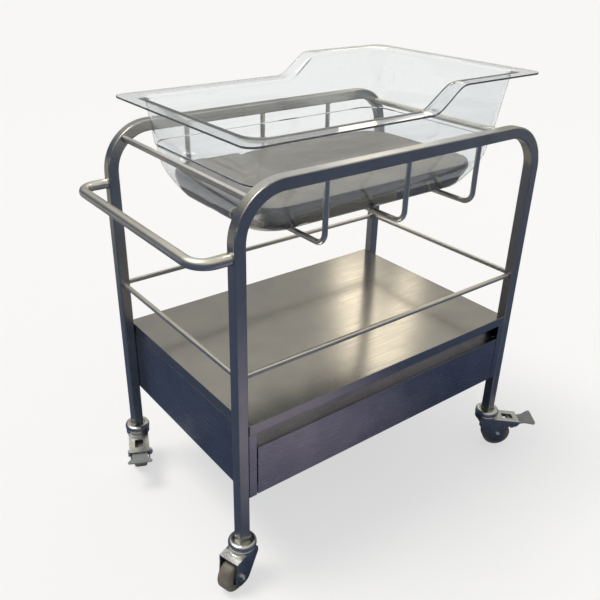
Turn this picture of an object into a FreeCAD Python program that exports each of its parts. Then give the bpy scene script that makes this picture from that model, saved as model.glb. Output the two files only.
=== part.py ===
"""Hospital bassinet trolley: stainless tube frame, clear basin, drawer cabinet and four swivel casters.

The origin is on the floor below the middle of the frame. +X is the head end, -Y is the drawer side and
+Z is up. All lengths are millimetres and all angles are degrees.
"""
import FreeCAD
import Part
import math
import os
import Sketcher

Vector = FreeCAD.Vector
doc = FreeCAD.newDocument("bassinet")
sheet = doc.addObject("Spreadsheet::Sheet", "sizes")

DRIVING_SIZES = [
    # tube frame: two bent side frames of square tube
    ("frame_length", 728),
    ("frame_width", 460),
    ("frame_height", 785),
    ("tube_side", 22),
    ("tube_wall", 1.2),
    ("tube_corner_radius", 2.5),
    ("tube_bend_radius", 84),
    # rods and handle welded to the side frames
    ("cross_rod_diameter", 12),
    ("cross_rod_angle", 50),
    ("guard_rod_diameter", 10),
    ("guard_rod_lift", 97),
    ("cradle_rod_diameter", 10),
    ("cradle_drop", 135),
    ("cradle_spacing", 182),
    ("cradle_bend_radius", 22),
    ("handle_diameter", 19),
    ("handle_wall", 1.2),
    ("handle_drop", 18),
    ("handle_reach", 58),
    ("handle_bend_radius", 34),
    # cabinet of folded sheet
    ("cabinet_top_height", 358),
    ("cabinet_depth", 158.5),
    ("sheet_thickness", 1.2),
    ("skirt_depth", 20),
    ("skirt_setback", 1),
    ("panel_ledge_gap", 1.5),
    ("panel_tuck", 14),
    ("stile_width", 16),
    ("back_flange_width", 12),
    ("base_hem_height", 4),
    # drawer and its runners
    ("drawer_side_gap", 2.5),
    ("drawer_floor_gap", 1),
    ("grip_recess_height", 33),
    ("grip_ledge_depth", 17),
    ("grip_wall_gap", 5),
    ("grip_hem", 5),
    ("grip_seam_height", 20),
    ("drawer_return", 16),
    ("drawer_box_gap", 27.8),
    ("drawer_box_drop", 3.5),
    ("drawer_box_lift", 5),
    ("drawer_back_gap", 30),
    ("drawer_flange", 10),
    ("drawer_corner_radius", 6),
    ("runner_height", 26),
    ("runner_width", 24),
    ("runner_drop", 22),
    ("runner_setback", 20),
    ("runner_back_gap", 50),
    ("roller_width", 8),
    ("roller_clearance", 0.4),
    ("roller_side_gap", 1.5),
    ("roller_inset", 26),
    ("front_roller_diameter", 18),
    ("stud_diameter", 5),
    ("stud_collar", 2),
    # basin
    ("rim_end_setback", 29),
    ("rim_side_setback", 6),
    ("rim_thickness", 3),
    ("rim_corner_radius", 22),
    ("rim_step_foot", 56),
    ("rim_step_length", 56),
    ("rim_step_height", 44),
    ("rim_step_radius", 40),
    ("flange_width", 30.5),
    ("basin_depth", 224.2),
    ("basin_wall", 5.5),
    ("basin_floor_corner", 58),
    ("basin_mouth_corner", 36),
    ("basin_floor_inset", 34),
    ("basin_shoulder_rise", 81),
    ("basin_shoulder_inset", 14.5),
    ("basin_ledge_rise", 96),
    ("basin_ledge_width", 2),
    ("rest_clearance", 0.3),
    # mattress
    ("mattress_thickness", 45),
    ("mattress_gap", 2.5),
    ("mattress_corner_radius", 62),
    ("mattress_foot_inset", 3),
    ("mattress_top_inset", 5),
    # casters
    ("wheel_diameter", 65),
    ("wheel_width", 29),
    ("wheel_side_gap", 5),
    ("tread_round", 6),
    ("hub_diameter", 40),
    ("hub_rim", 3),
    ("hub_boss_wall", 4),
    ("hub_web_recess", 5),
    ("axle_diameter", 8),
    ("axle_clearance", 0.08),
    ("bolt_head_size", 13),
    ("bolt_head_height", 5),
    ("bolt_end", 2),
    ("trail", 28),
    ("fork_sheet", 2.5),
    ("fork_crown", 13.5),
    ("fork_back", 20),
    ("fork_back_depth", 14),
    ("fork_front", 41),
    ("fork_tip_radius", 17),
    ("fork_tip_corner", 16),
    ("fork_bend", 22),
    ("fork_slope", 0.12),
    ("race_diameter", 52),
    ("race_height", 9),
    ("race_gap", 0.3),
    ("head_height", 11.5),
    ("head_floor", 7.2),
    ("head_rim_width", 10),
    ("head_dome_radius", 7),
    ("head_mouth_gap", 1.4),
    ("plug_wall", 1.1),
    ("plug_clearance", 0.1),
    ("stem_length", 46),
    ("kingpin_diameter", 10),
    ("kingpin_head_diameter", 16),
    ("kingpin_head_height", 3),
    ("swivel_near_foot", 197),
    ("swivel_far_foot", 246),
    ("swivel_near_head", 324),
    ("swivel_far_head", 215),
    # foot brakes on two casters
    ("brake_reach", 48),
    ("brake_cheek_depth", 20),
    ("brake_nose", 7),
    ("brake_slot_length", 26),
    ("brake_slot_width", 18),
    ("brake_slot_radius", 3),
    ("pedal_drop", 13.5),
    ("pedal_pivot_reach", 28),
    ("pedal_length", 57),
    ("pedal_thickness", 3),
    ("pedal_crank", 21),
    ("pedal_rise", 6.2),
    ("pedal_neck_width", 34),
    ("pedal_tip_width", 56),
    ("pedal_flare_length", 22),
    ("pedal_crank_radius", 10),
    ("pedal_neck_radius", 12),
    ("pedal_ear_radius", 4),
    ("pedal_ear_side", 3),
    ("pedal_ear_end", 8),
    ("pedal_pin_diameter", 5),
    ("pedal_sleeve_wall", 2),
    ("shoe_reach", 2),
    ("shoe_length", 7),
    ("shoe_drop", 13),
]


class Size:
    """A value with its formula, so that what is built from it follows the sheet."""

    def __init__(self, text, number):
        self.text = text
        self.number = float(number)

    def __add__(self, other):
        return Size(f"({self.text} + {text_of(other)})", self.number + number_of(other))

    def __radd__(self, other):
        return Size(f"({text_of(other)} + {self.text})", number_of(other) + self.number)

    def __sub__(self, other):
        return Size(f"({self.text} - {text_of(other)})", self.number - number_of(other))

    def __rsub__(self, other):
        return Size(f"({text_of(other)} - {self.text})", number_of(other) - self.number)

    def __mul__(self, other):
        return Size(f"({self.text} * {text_of(other)})", self.number * number_of(other))

    __rmul__ = __mul__

    def __truediv__(self, other):
        return Size(f"({self.text} / {text_of(other)})", self.number / number_of(other))

    def __pow__(self, exponent):
        return Size(f"({self.text} ^ {exponent})", self.number ** exponent)

    def __neg__(self):
        return Size(f"(0 - {self.text})", -self.number)


def text_of(value):
    return value.text if isinstance(value, Size) else repr(value)


def number_of(value):
    return value.number if isinstance(value, Size) else float(value)


def cosine(angle):
    return Size(f"cos({angle.text})", math.cos(math.radians(angle.number)))


def sine(angle):
    return Size(f"sin({angle.text})", math.sin(math.radians(angle.number)))


def fill_sheet():
    """Write each driving size into its own cell and return the sizes by name."""
    for row, (name, number) in enumerate(DRIVING_SIZES, start=1):
        sheet.set(f"A{row}", name.replace("_", " "))
        sheet.set(f"B{row}", str(number))
        sheet.setAlias(f"B{row}", name)
    doc.recompute()
    return {name: Size(f"sizes.{name}", sheet.get(name)) for name, _ in DRIVING_SIZES}


class Named:
    """The sizes as attributes, so that formulas read as words."""

    def __init__(self, values):
        self.__dict__.update(values)


s = Named(fill_sheet())


def bind(thing, path, value):
    """Tie a property to a formula of the sheet, or set a plain number."""
    thing.setExpression(path, text_of(value))


def constrain(sketch, constraint, value):
    index = sketch.addConstraint(constraint)
    bind(sketch, f"Constraints[{index}]", value)


def new_body(name):
    body = doc.addObject("PartDesign::Body", name)
    body.Label = name
    return body


def sketch_on(body, role, name, offset=None):
    """Add a sketch on one of the body's own origin planes, moved along the plane's normal."""
    plane = next(item for item in body.Origin.OriginFeatures if item.Role == role)
    sketch = body.newObject("Sketcher::SketchObject", f"{body.Name}_{name}")
    sketch.AttachmentSupport = [(plane, "")]
    sketch.MapMode = "FlatFace"
    if offset is not None:
        bind(sketch, "AttachmentOffset.Base.z", offset)
    return sketch


def place_point(sketch, geometry, end, x, y):
    """Hold a point of the sketch at x, y from its origin."""
    for kind, axis, value in (("DistanceX", -2, x), ("DistanceY", -1, y)):
        if isinstance(value, Size):
            constrain(sketch, Sketcher.Constraint(kind, -1, 1, geometry, end, value.number), value)
        elif value == 0:
            sketch.addConstraint(Sketcher.Constraint("PointOnObject", geometry, end, axis))
        else:
            sketch.addConstraint(Sketcher.Constraint(kind, -1, 1, geometry, end, float(value)))


def unit(start, end):
    step = end - start
    return step / step.Length


def draw(sketch, corners, closed=True):
    """Draw straight lines through the corners (x, y) or (x, y, radius), each radius as a tangent arc."""
    points = [Vector(number_of(corner[0]), number_of(corner[1]), 0) for corner in corners]
    count = len(corners)
    trims = []
    for index, corner in enumerate(corners):
        if len(corner) < 3:
            trims.append(0.0)
            continue
        before = unit(points[index], points[index - 1])
        after = unit(points[index], points[(index + 1) % count])
        half_angle = before.getAngle(after) / 2
        trims.append(number_of(corner[2]) / math.tan(half_angle))
    lines = []
    for index in range(count if closed else count - 1):
        follower = (index + 1) % count
        along = unit(points[index], points[follower])
        start = points[index] + along * trims[index]
        end = points[follower] - along * trims[follower]
        lines.append(sketch.addGeometry(Part.LineSegment(start, end)))
    for index, corner in enumerate(corners):
        if not closed and index in (0, count - 1):
            line, end = (lines[0], 1) if index == 0 else (lines[-1], 2)
            place_point(sketch, line, end, corner[0], corner[1])
            continue
        arriving, leaving = lines[index - 1], lines[index]
        if len(corner) < 3:
            sketch.addConstraint(Sketcher.Constraint("Coincident", arriving, 2, leaving, 1))
            place_point(sketch, leaving, 1, corner[0], corner[1])
            continue
        add_rounding(sketch, arriving, leaving, points[index], corner)


def add_rounding(sketch, arriving, leaving, point, corner):
    """Join two lines by a tangent arc, and hold the corner where they would meet."""
    first = sketch.Geometry[arriving].EndPoint
    last = sketch.Geometry[leaving].StartPoint
    radius = number_of(corner[2])
    towards_centre = unit(point, (first + last) / 2)
    reach = (first - point).Length
    centre = point + towards_centre * math.hypot(reach, radius)
    turns_left = (point - first).cross(last - point).z > 0
    begin, finish = (first, last) if turns_left else (last, first)
    angles = [math.atan2(end.y - centre.y, end.x - centre.x) for end in (begin, finish)]
    if angles[1] < angles[0]:
        angles[1] += 2 * math.pi
    circle = Part.Circle(centre, Vector(0, 0, 1), radius)
    arc = sketch.addGeometry(Part.ArcOfCircle(circle, angles[0], angles[1]))
    arc_in, arc_out = (1, 2) if turns_left else (2, 1)
    sketch.addConstraint(Sketcher.Constraint("Tangent", arriving, 2, arc, arc_in))
    sketch.addConstraint(Sketcher.Constraint("Tangent", leaving, 1, arc, arc_out))
    constrain(sketch, Sketcher.Constraint("Radius", arc, radius), corner[2])
    mark = sketch.addGeometry(Part.Point(point), True)
    sketch.addConstraint(Sketcher.Constraint("PointOnObject", mark, 1, arriving))
    sketch.addConstraint(Sketcher.Constraint("PointOnObject", mark, 1, leaving))
    place_point(sketch, mark, 1, corner[0], corner[1])


def rectangle(sketch, half_x, half_y, radius=None, centre=(0, 0)):
    """Draw a rectangle about a centre, with rounded corners if a radius is given."""
    corners = []
    for sign_x, sign_y in ((-1, -1), (1, -1), (1, 1), (-1, 1)):
        corner = [centre[0] + sign_x * half_x, centre[1] + sign_y * half_y]
        corners.append(corner if radius is None else corner + [radius])
    draw(sketch, corners)


def circle(sketch, x, y, diameter):
    shape = Part.Circle(Vector(number_of(x), number_of(y), 0), Vector(0, 0, 1), number_of(diameter) / 2)
    index = sketch.addGeometry(shape)
    constrain(sketch, Sketcher.Constraint("Diameter", index, number_of(diameter)), diameter)
    place_point(sketch, index, 3, x, y)


def feature(body, kind, name, profile):
    item = body.newObject(f"PartDesign::{kind}", f"{body.Name}_{name}")
    item.Profile = profile
    profile.Visibility = False
    return item


def pad(body, name, profile, length, both_ways=False, backwards=False):
    item = feature(body, "Pad", name, profile)
    bind(item, "Length", length)
    item.Midplane = both_ways
    item.Reversed = backwards
    return item


def cut(body, name, profile, length, both_ways=False, backwards=False):
    """Pocket a profile, and check that it took material away."""
    doc.recompute()
    before = body.Shape.Volume
    item = feature(body, "Pocket", name, profile)
    bind(item, "Length", length)
    item.Midplane = both_ways
    item.Reversed = backwards
    doc.recompute()
    if not item.Shape.Volume < before:
        raise ValueError(f"{item.Name} removes nothing")
    return item


def turn(body, name, profile, axis="V_Axis"):
    """Revolve a profile about an axis of its sketch."""
    item = feature(body, "Revolution", name, profile)
    item.ReferenceAxis = (profile, [axis])
    item.Angle = 360
    return item


def pipe(body, name, profile, path):
    """Sweep a profile along the edges of a path sketch."""
    item = feature(body, "AdditivePipe", name, profile)
    doc.recompute()
    edges = [f"Edge{index + 1}" for index in range(len(path.Shape.Edges))]
    item.Spine = (path, edges)
    return item


def loft(body, kind, name, profiles):
    item = feature(body, kind, name, profiles[0])
    item.Sections = profiles[1:]
    item.Ruled = True
    return item


def set_place(item, x=0, y=0, z=0, axis=Vector(0, 0, 1), angle=0):
    """Put an object where the formulas say, turned about an axis."""
    rotation = FreeCAD.Rotation(axis, number_of(angle))
    item.Placement = FreeCAD.Placement(Vector(number_of(x), number_of(y), number_of(z)), rotation)
    for path, value in (("x", x), ("y", y), ("z", z)):
        bind(item, f"Placement.Base.{path}", value)
    if isinstance(angle, Size):
        bind(item, "Placement.Rotation.Angle", angle)


def rod(name, diameter, length, x, y, z, axis, angle=90):
    """A straight round rod that starts at x, y, z and runs the way that the turn about axis points it."""
    item = doc.addObject("Part::Cylinder", name)
    item.Label = name
    bind(item, "Radius", diameter / 2)
    bind(item, "Height", length)
    set_place(item, x, y, z, axis, angle)
    return item


ALONG_X = Vector(0, 1, 0)
ALONG_Y = Vector(-1, 0, 0)

leg_x = s.frame_length / 2 - s.tube_side / 2
leg_y = s.frame_width / 2 - s.tube_side / 2
leg_inner_x = s.frame_length / 2 - s.tube_side
leg_inner_y = s.frame_width / 2 - s.tube_side
rail_middle = s.frame_height - s.tube_side / 2
rail_underside = s.frame_height - s.tube_side
cradle_height = s.frame_height - s.cradle_drop
handle_height = rail_middle - s.tube_bend_radius - s.handle_drop

fork_top = s.wheel_diameter + s.fork_crown
race_top = fork_top + s.race_height
head_low = race_top + s.race_gap
leg_foot = head_low + s.head_floor


def build_side_frame(name, side):
    """One length of square tube bent into an inverted U: two legs and a top rail."""
    body = new_body(name)
    path = sketch_on(body, "XZ_Plane", "path")
    bend = s.tube_bend_radius
    draw(path, [(-leg_x, leg_foot), (-leg_x, rail_middle, bend),
                (leg_x, rail_middle, bend), (leg_x, leg_foot)], closed=False)
    section = sketch_on(body, "XY_Plane", "section", leg_foot)
    half = s.tube_side / 2
    rectangle(section, half, half, s.tube_corner_radius, (-leg_x, 0))
    rectangle(section, half - s.tube_wall, half - s.tube_wall, s.tube_corner_radius - s.tube_wall, (-leg_x, 0))
    pipe(body, "tube", section, path)
    set_place(body, y=side * leg_y)
    return body


def build_cross_rod(name, end):
    """A rod that ties the two side frames together at their top bends."""
    bend_centre_x = leg_x - s.tube_bend_radius
    x = end * (bend_centre_x + s.tube_bend_radius * cosine(s.cross_rod_angle))
    z = rail_middle - s.tube_bend_radius + s.tube_bend_radius * sine(s.cross_rod_angle)
    return rod(name, s.cross_rod_diameter, 2 * leg_inner_y, x, -leg_inner_y, z, ALONG_Y)


def build_guard_rods():
    """Four rods at one height that keep things from sliding off the cabinet top."""
    lengthwise = 2 * leg_inner_x
    crosswise = 2 * leg_inner_y
    height = s.cabinet_top_height + s.guard_rod_lift
    diameter = s.guard_rod_diameter
    return [
        rod("guard_rod_near", diameter, lengthwise, -leg_inner_x, -leg_y, height, ALONG_X),
        rod("guard_rod_far", diameter, lengthwise, -leg_inner_x, leg_y, height, ALONG_X),
        rod("guard_rod_foot", diameter, crosswise, -leg_x, -leg_inner_y, height, ALONG_Y),
        rod("guard_rod_head", diameter, crosswise, leg_x, -leg_inner_y, height, ALONG_Y),
    ]


def build_cradle_rod(name, place):
    """A rod bent into a wide U, hung from the two top rails, on which the basin stands."""
    body = new_body(name)
    path = sketch_on(body, "YZ_Plane", "path")
    bend = s.cradle_bend_radius
    low = cradle_height
    draw(path, [(-leg_y, rail_underside), (-leg_y, low, bend),
                (leg_y, low, bend), (leg_y, rail_underside)], closed=False)
    section = sketch_on(body, "XY_Plane", "section", rail_underside)
    circle(section, 0, -leg_y, s.cradle_rod_diameter)
    pipe(body, "bent_rod", section, path)
    set_place(body, x=place * s.cradle_spacing)
    return body


def build_handle():
    """The push handle: round tube bent into a U and welded to the two legs of the foot end."""
    body = new_body("push_handle")
    face = -s.frame_length / 2
    grip = face - s.handle_reach
    path = sketch_on(body, "XY_Plane", "path", handle_height)
    bend = s.handle_bend_radius
    draw(path, [(face, leg_y), (grip, leg_y, bend), (grip, -leg_y, bend), (face, -leg_y)], closed=False)
    section = sketch_on(body, "YZ_Plane", "section", face)
    circle(section, leg_y, handle_height, s.handle_diameter)
    circle(section, leg_y, handle_height, s.handle_diameter - 2 * s.handle_wall)
    pipe(body, "tube", section, path)
    return body


thick = s.sheet_thickness
cabinet_floor = s.cabinet_top_height - s.cabinet_depth
panel_x = leg_inner_x
panel_inner_x = panel_x - thick
front_y = s.frame_width / 2
skirt_x = panel_x - s.skirt_setback
skirt_bottom = s.cabinet_top_height - s.skirt_depth
panel_top = skirt_bottom - s.panel_ledge_gap


def build_cabinet_top():
    """The shelf: a sheet with all four edges folded down into a skirt."""
    body = new_body("cabinet_top")
    outside = sketch_on(body, "XY_Plane", "outside", skirt_bottom)
    rectangle(outside, skirt_x, front_y, thick)
    pad(body, "block", outside, s.skirt_depth)
    hollow = sketch_on(body, "XY_Plane", "hollow", skirt_bottom)
    rectangle(hollow, skirt_x - thick, front_y - thick)
    cut(body, "underside", hollow, s.skirt_depth - thick, backwards=True)
    tray = body.Tip
    rim = []
    for index, edge in enumerate(tray.Shape.Edges, start=1):
        if edge.BoundBox.ZMin > number_of(s.cabinet_top_height) - 0.01:
            rim.append(f"Edge{index}")
    fold = body.newObject("PartDesign::Fillet", "cabinet_top_fold")
    fold.Base = (tray, rim)
    bind(fold, "Radius", thick * 0.8)
    return body


def build_side_panel(name, end):
    """An end of the cabinet: a sheet folded round the front as a stile and round the back as a flange."""
    body = new_body(name)
    plan = sketch_on(body, "XY_Plane", "plan", cabinet_floor)
    outer, inner = end * panel_x, end * panel_inner_x
    stile = end * (panel_x - s.stile_width)
    flange = end * (panel_x - s.back_flange_width)
    draw(plan, [(outer, -front_y), (outer, front_y - thick), (flange, front_y - thick),
                (flange, front_y - 2 * thick), (inner, front_y - 2 * thick), (inner, thick - front_y),
                (stile, thick - front_y), (stile, -front_y)])
    pad(body, "sheet", plan, panel_top - cabinet_floor)
    stile_top = sketch_on(body, "XZ_Plane", "stile_top", front_y - thick)
    draw(stile_top, [(outer - end * s.skirt_setback, panel_top), (stile, panel_top),
                     (stile, skirt_bottom), (outer - end * s.skirt_setback, skirt_bottom)])
    pad(body, "stile_top_sheet", stile_top, thick)
    tuck = sketch_on(body, "XZ_Plane", "tuck")
    clear = end * (skirt_x - thick)
    clear_inner = end * (skirt_x - 2 * thick)
    draw(tuck, [(inner, panel_top - thick), (inner, panel_top), (clear, panel_top),
                (clear, panel_top + s.panel_tuck), (clear_inner, panel_top + s.panel_tuck),
                (clear_inner, panel_top - thick)])
    pad(body, "tuck_sheet", tuck, 2 * (front_y - 2 * thick), both_ways=True)
    return body


def build_back_panel():
    """The back of the cabinet, flush with the skirt above it and closed at its foot by a small return."""
    body = new_body("cabinet_back")
    face = sketch_on(body, "XZ_Plane", "face", -front_y)
    draw(face, [(-panel_inner_x, cabinet_floor), (panel_inner_x, cabinet_floor),
                (panel_inner_x, skirt_bottom), (-panel_inner_x, skirt_bottom)])
    pad(body, "sheet", face, thick)
    return body


drawer_floor = cabinet_floor + s.drawer_floor_gap
drawer_back_of_grip = front_y - s.grip_ledge_depth
drawer_front_inner = drawer_back_of_grip - thick


def build_base_pan():
    """The floor of the cabinet, with its front and ends turned up against the drawer and the panels."""
    body = new_body("cabinet_base")
    front = front_y - s.grip_ledge_depth - 3 * thick
    end_clear = panel_inner_x
    rise = s.base_hem_height
    section = sketch_on(body, "YZ_Plane", "section")
    low = cabinet_floor
    back = front_y - 2 * thick
    draw(section, [(-front, low), (back, low), (back, low + thick), (thick - front, low + thick),
                   (thick - front, low + rise), (-front, low + rise)])
    pad(body, "sheet", section, 2 * end_clear, both_ways=True)
    return body


drawer_half = panel_x - s.stile_width - s.drawer_side_gap
grip_top = skirt_bottom - s.grip_recess_height


def build_drawer_front():
    """The drawer's face, folded back at its top into a ledge and a wall that fingers pull on."""
    body = new_body("drawer_front")
    section = sketch_on(body, "YZ_Plane", "section")
    back = -drawer_back_of_grip
    wall_top = skirt_bottom - s.grip_wall_gap
    draw(section, [
        (-front_y, drawer_floor), (-front_y, grip_top), (back, grip_top), (back, wall_top),
        (back + s.grip_hem, wall_top), (back + s.grip_hem, wall_top - thick), (back + thick, wall_top - thick),
        (back + thick, grip_top - thick), (thick - front_y, grip_top - thick),
        (thick - front_y, drawer_floor + thick), (s.drawer_return - front_y, drawer_floor + thick),
        (s.drawer_return - front_y, drawer_floor)])
    pad(body, "folded_sheet", section, 2 * drawer_half, both_ways=True)
    for label, side in (("foot_return", -1), ("head_return", 1)):
        end = sketch_on(body, "YZ_Plane", label, side * drawer_half - (thick if side > 0 else 0))
        draw(end, [(thick - front_y, drawer_floor + thick), (s.drawer_return - front_y, drawer_floor + thick),
                   (s.drawer_return - front_y, grip_top - thick), (thick - front_y, grip_top - thick)])
        pad(body, f"{label}_sheet", end, thick)
    return body


box_half = panel_inner_x - s.drawer_box_gap
box_low = drawer_floor + s.drawer_box_lift
box_top = grip_top - s.drawer_box_drop
box_length = front_y - thick - s.drawer_back_gap + drawer_front_inner


def build_drawer_box():
    """The open drawer tray behind the face, with its side walls turned out as rails."""
    body = new_body("drawer_box")
    outside = sketch_on(body, "XY_Plane", "outside", box_low)
    middle = -drawer_front_inner + box_length / 2
    rectangle(outside, box_half, box_length / 2, None, (0, middle))
    pad(body, "block", outside, (box_top - box_low))
    rails = sketch_on(body, "XY_Plane", "rails", box_top - thick)
    rectangle(rails, box_half + s.drawer_flange, box_length / 2, None, (0, middle))
    pad(body, "rail_sheet", rails, thick)
    hollow = sketch_on(body, "XY_Plane", "hollow", box_low + thick)
    rectangle(hollow, box_half - thick, box_length / 2 - thick, s.drawer_corner_radius, (0, middle))
    cut(body, "inside", hollow, (box_top - box_low), backwards=True)
    upstand = sketch_on(body, "XZ_Plane", "upstand", drawer_front_inner - thick)
    high = grip_top + s.grip_seam_height
    draw(upstand, [(-box_half, box_top - thick), (box_half, box_top - thick), (box_half, high), (-box_half, high)])
    pad(body, "upstand_sheet", upstand, thick)
    return body


runner_high = box_top - s.runner_drop
runner_low = runner_high - s.runner_height
runner_length = 2 * front_y - s.runner_setback - s.runner_back_gap


def build_runner(name, end):
    """A channel on the inside of the end panel, in which the drawer's rear roller runs."""
    body = new_body(name)
    section = sketch_on(body, "XZ_Plane", "section", s.runner_back_gap - front_y)
    outer, web = end * panel_inner_x, end * (panel_inner_x - thick)
    mouth = end * (panel_inner_x - s.runner_width)
    low, high = runner_low, runner_high
    draw(section, [(outer, low), (mouth, low), (mouth, low + thick), (web, low + thick),
                   (web, high - thick), (mouth, high - thick), (mouth, high), (outer, high)])
    pad(body, "channel", section, runner_length)
    return body


roller_bore = s.stud_diameter + 2 * s.axle_clearance
front_roller_z = box_top - thick - s.roller_clearance - s.front_roller_diameter / 2
front_roller_y = s.roller_inset - front_y
front_roller_x = box_half + s.roller_side_gap + s.roller_width / 2
rear_roller_diameter = s.runner_height - 2 * thick - 2 * s.roller_clearance
rear_roller_z = runner_low + s.runner_height / 2
rear_roller_y = box_length - drawer_front_inner - s.roller_inset
rear_roller_x = panel_inner_x - s.runner_width + thick + s.roller_width / 2


def build_roller(name, diameter, x, y, z):
    """A nylon roller that turns on its stud, along X."""
    body = new_body(name)
    half = sketch_on(body, "XY_Plane", "half")
    bore, tread, width = roller_bore / 2, diameter / 2, s.roller_width / 2
    draw(half, [(-width, bore), (width, bore), (width, tread, 1), (-width, tread, 1)])
    turn(body, "turned", half, "H_Axis")
    set_place(body, x, y, z)
    return body


def build_studs(name, root_x, tip_x, shoulder_x, y, z):
    """A pair of studs, one at each end of the drawer, each with a thicker root up to its roller."""
    body = new_body(name)
    radius = s.stud_diameter / 2
    for word, end in (("foot", -1), ("head", 1)):
        half = sketch_on(body, "XY_Plane", f"{word}_half")
        draw(half, [(end * root_x, 0), (end * tip_x, 0), (end * tip_x, radius), (end * shoulder_x, radius),
                    (end * shoulder_x, radius + s.stud_collar), (end * root_x, radius + s.stud_collar)])
        turn(body, f"{word}_stud", half, "H_Axis")
    set_place(body, 0, y, z)
    return body


def build_rollers():
    """Front rollers carry the drawer's rails; rear rollers run inside the channels."""
    items = []
    for word, end in (("foot", -1), ("head", 1)):
        items.append(build_roller(f"runner_roller_{word}", s.front_roller_diameter,
                                  end * front_roller_x, front_roller_y, front_roller_z))
        items.append(build_roller(f"drawer_roller_{word}", rear_roller_diameter,
                                  end * rear_roller_x, rear_roller_y, rear_roller_z))
    half = s.roller_width / 2
    gap = s.roller_clearance
    items.append(build_studs("runner_roller_studs", panel_inner_x, front_roller_x - half - gap,
                             front_roller_x + half + gap, front_roller_y, front_roller_z))
    items.append(build_studs("drawer_roller_studs", box_half, rear_roller_x + half + gap,
                             rear_roller_x - half - gap, rear_roller_y, rear_roller_z))
    return items


basin_floor_z = cradle_height + s.cradle_rod_diameter / 2 + s.rest_clearance
rim_high = basin_floor_z + s.basin_depth
rim_low = rim_high - s.rim_step_height
rim_half_length = s.frame_length / 2 - s.rim_end_setback
rim_half_width = s.frame_width / 2 - s.rim_side_setback
side_difference = rim_half_length - rim_half_width
basin_mouth = rim_half_length - s.flange_width
basin_shoulder = basin_mouth - s.basin_shoulder_inset
rim_overcut = 1
FLOOR_ROUNDNESS = 1.8
FLOOR_STEPS = 4


def floor_curve(share):
    """Half length of the basin at a share of the rise from its floor to its shoulder."""
    return basin_shoulder - s.basin_floor_inset * (1 - share) ** FLOOR_ROUNDNESS


def basin_sections():
    """Outer plan outlines of the basin from its floor up: half length, height and corner radius."""
    corner_change = s.basin_floor_corner - s.basin_mouth_corner
    sections = []
    for step in range(FLOOR_STEPS + 1):
        share = step / FLOOR_STEPS
        sections.append((floor_curve(share), s.basin_shoulder_rise * share,
                         s.basin_floor_corner - corner_change * share / 2))
    ledge_corner = s.basin_floor_corner - corner_change / 2
    ledge = basin_shoulder + s.basin_ledge_width / 2
    sections.append((ledge, s.basin_ledge_rise, ledge_corner))
    sections.append((ledge + s.basin_ledge_width, s.basin_ledge_rise + s.basin_ledge_width, ledge_corner))
    sections.append((basin_mouth, s.basin_depth + rim_overcut, s.basin_mouth_corner))
    return sections


def basin_loft(body, kind, name, inset):
    """Loft through the basin's outlines, moved inwards by the inset and up by it at the floor."""
    sketches = []
    for number, (half_length, rise, corner) in enumerate(basin_sections()):
        lift = inset if number == 0 else 0
        sketch = sketch_on(body, "XY_Plane", f"{name}_{number}", basin_floor_z + rise + lift)
        rectangle(sketch, half_length - inset, half_length - side_difference - inset, corner - inset)
        sketches.append(sketch)
    return loft(body, kind, name, sketches)


def rim_line(drop):
    """The rim seen from the side: low at the foot, stepped up in an S to the head."""
    foot = s.rim_step_foot
    head = foot + s.rim_step_length
    low, high = rim_low - drop, rim_high - drop
    return [(-rim_half_length, low), (foot, low, s.rim_step_radius),
            (head, high, s.rim_step_radius), (rim_half_length, high)]


def build_basin():
    """The clear basin: drawn sheet with tapered walls, a moulded ledge and a stepped flange."""
    body = new_body("basin")
    margin = 10
    basin_loft(body, "AdditiveLoft", "outer", 0)
    above = sketch_on(body, "XZ_Plane", "above_rim")
    line = rim_line(0)
    sky = rim_high + margin
    beyond = rim_half_length + margin
    draw(above, [(-beyond, rim_low)] + line[1:3] + [(beyond, rim_high), (beyond, sky), (-beyond, sky)])
    cut(body, "rim_cut", above, 2 * beyond, both_ways=True)
    flange = sketch_on(body, "XZ_Plane", "flange")
    draw(flange, line + list(reversed(rim_line(s.rim_thickness))))
    pad(body, "flange_sheet", flange, 2 * rim_half_width, both_ways=True)
    corners = sketch_on(body, "XY_Plane", "flange_plan")
    rectangle(corners, beyond, rim_half_width + margin)
    rectangle(corners, rim_half_length, rim_half_width, s.rim_corner_radius)
    cut(body, "flange_trim", corners, sky, backwards=True)
    basin_loft(body, "SubtractiveLoft", "inner", s.basin_wall)
    return body


def build_mattress():
    """The foam mattress in its cover, which narrows towards its foot as the basin's floor does."""
    body = new_body("mattress")
    lift = s.basin_wall + s.rest_clearance
    sketches = []
    for number, level in enumerate((0, 0.35, 0.7, 0.9, 1)):
        rise = lift + s.mattress_thickness * level
        half_length = floor_curve(rise / s.basin_shoulder_rise) - s.basin_wall - s.mattress_gap
        if level == 0:
            half_length = half_length - s.mattress_foot_inset
        if level == 1:
            half_length = half_length - s.mattress_top_inset
        sketch = sketch_on(body, "XY_Plane", f"level_{number}", basin_floor_z + rise)
        rectangle(sketch, half_length, half_length - side_difference, s.mattress_corner_radius)
        sketches.append(sketch)
    loft(body, "AdditiveLoft", "foam", sketches)
    return body


axle_height = s.wheel_diameter / 2
fork_width = s.wheel_width + 2 * (s.wheel_side_gap + s.fork_sheet)
stem_diameter = s.tube_side - 2 * (s.tube_wall + s.plug_wall + 2 * s.plug_clearance)


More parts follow.
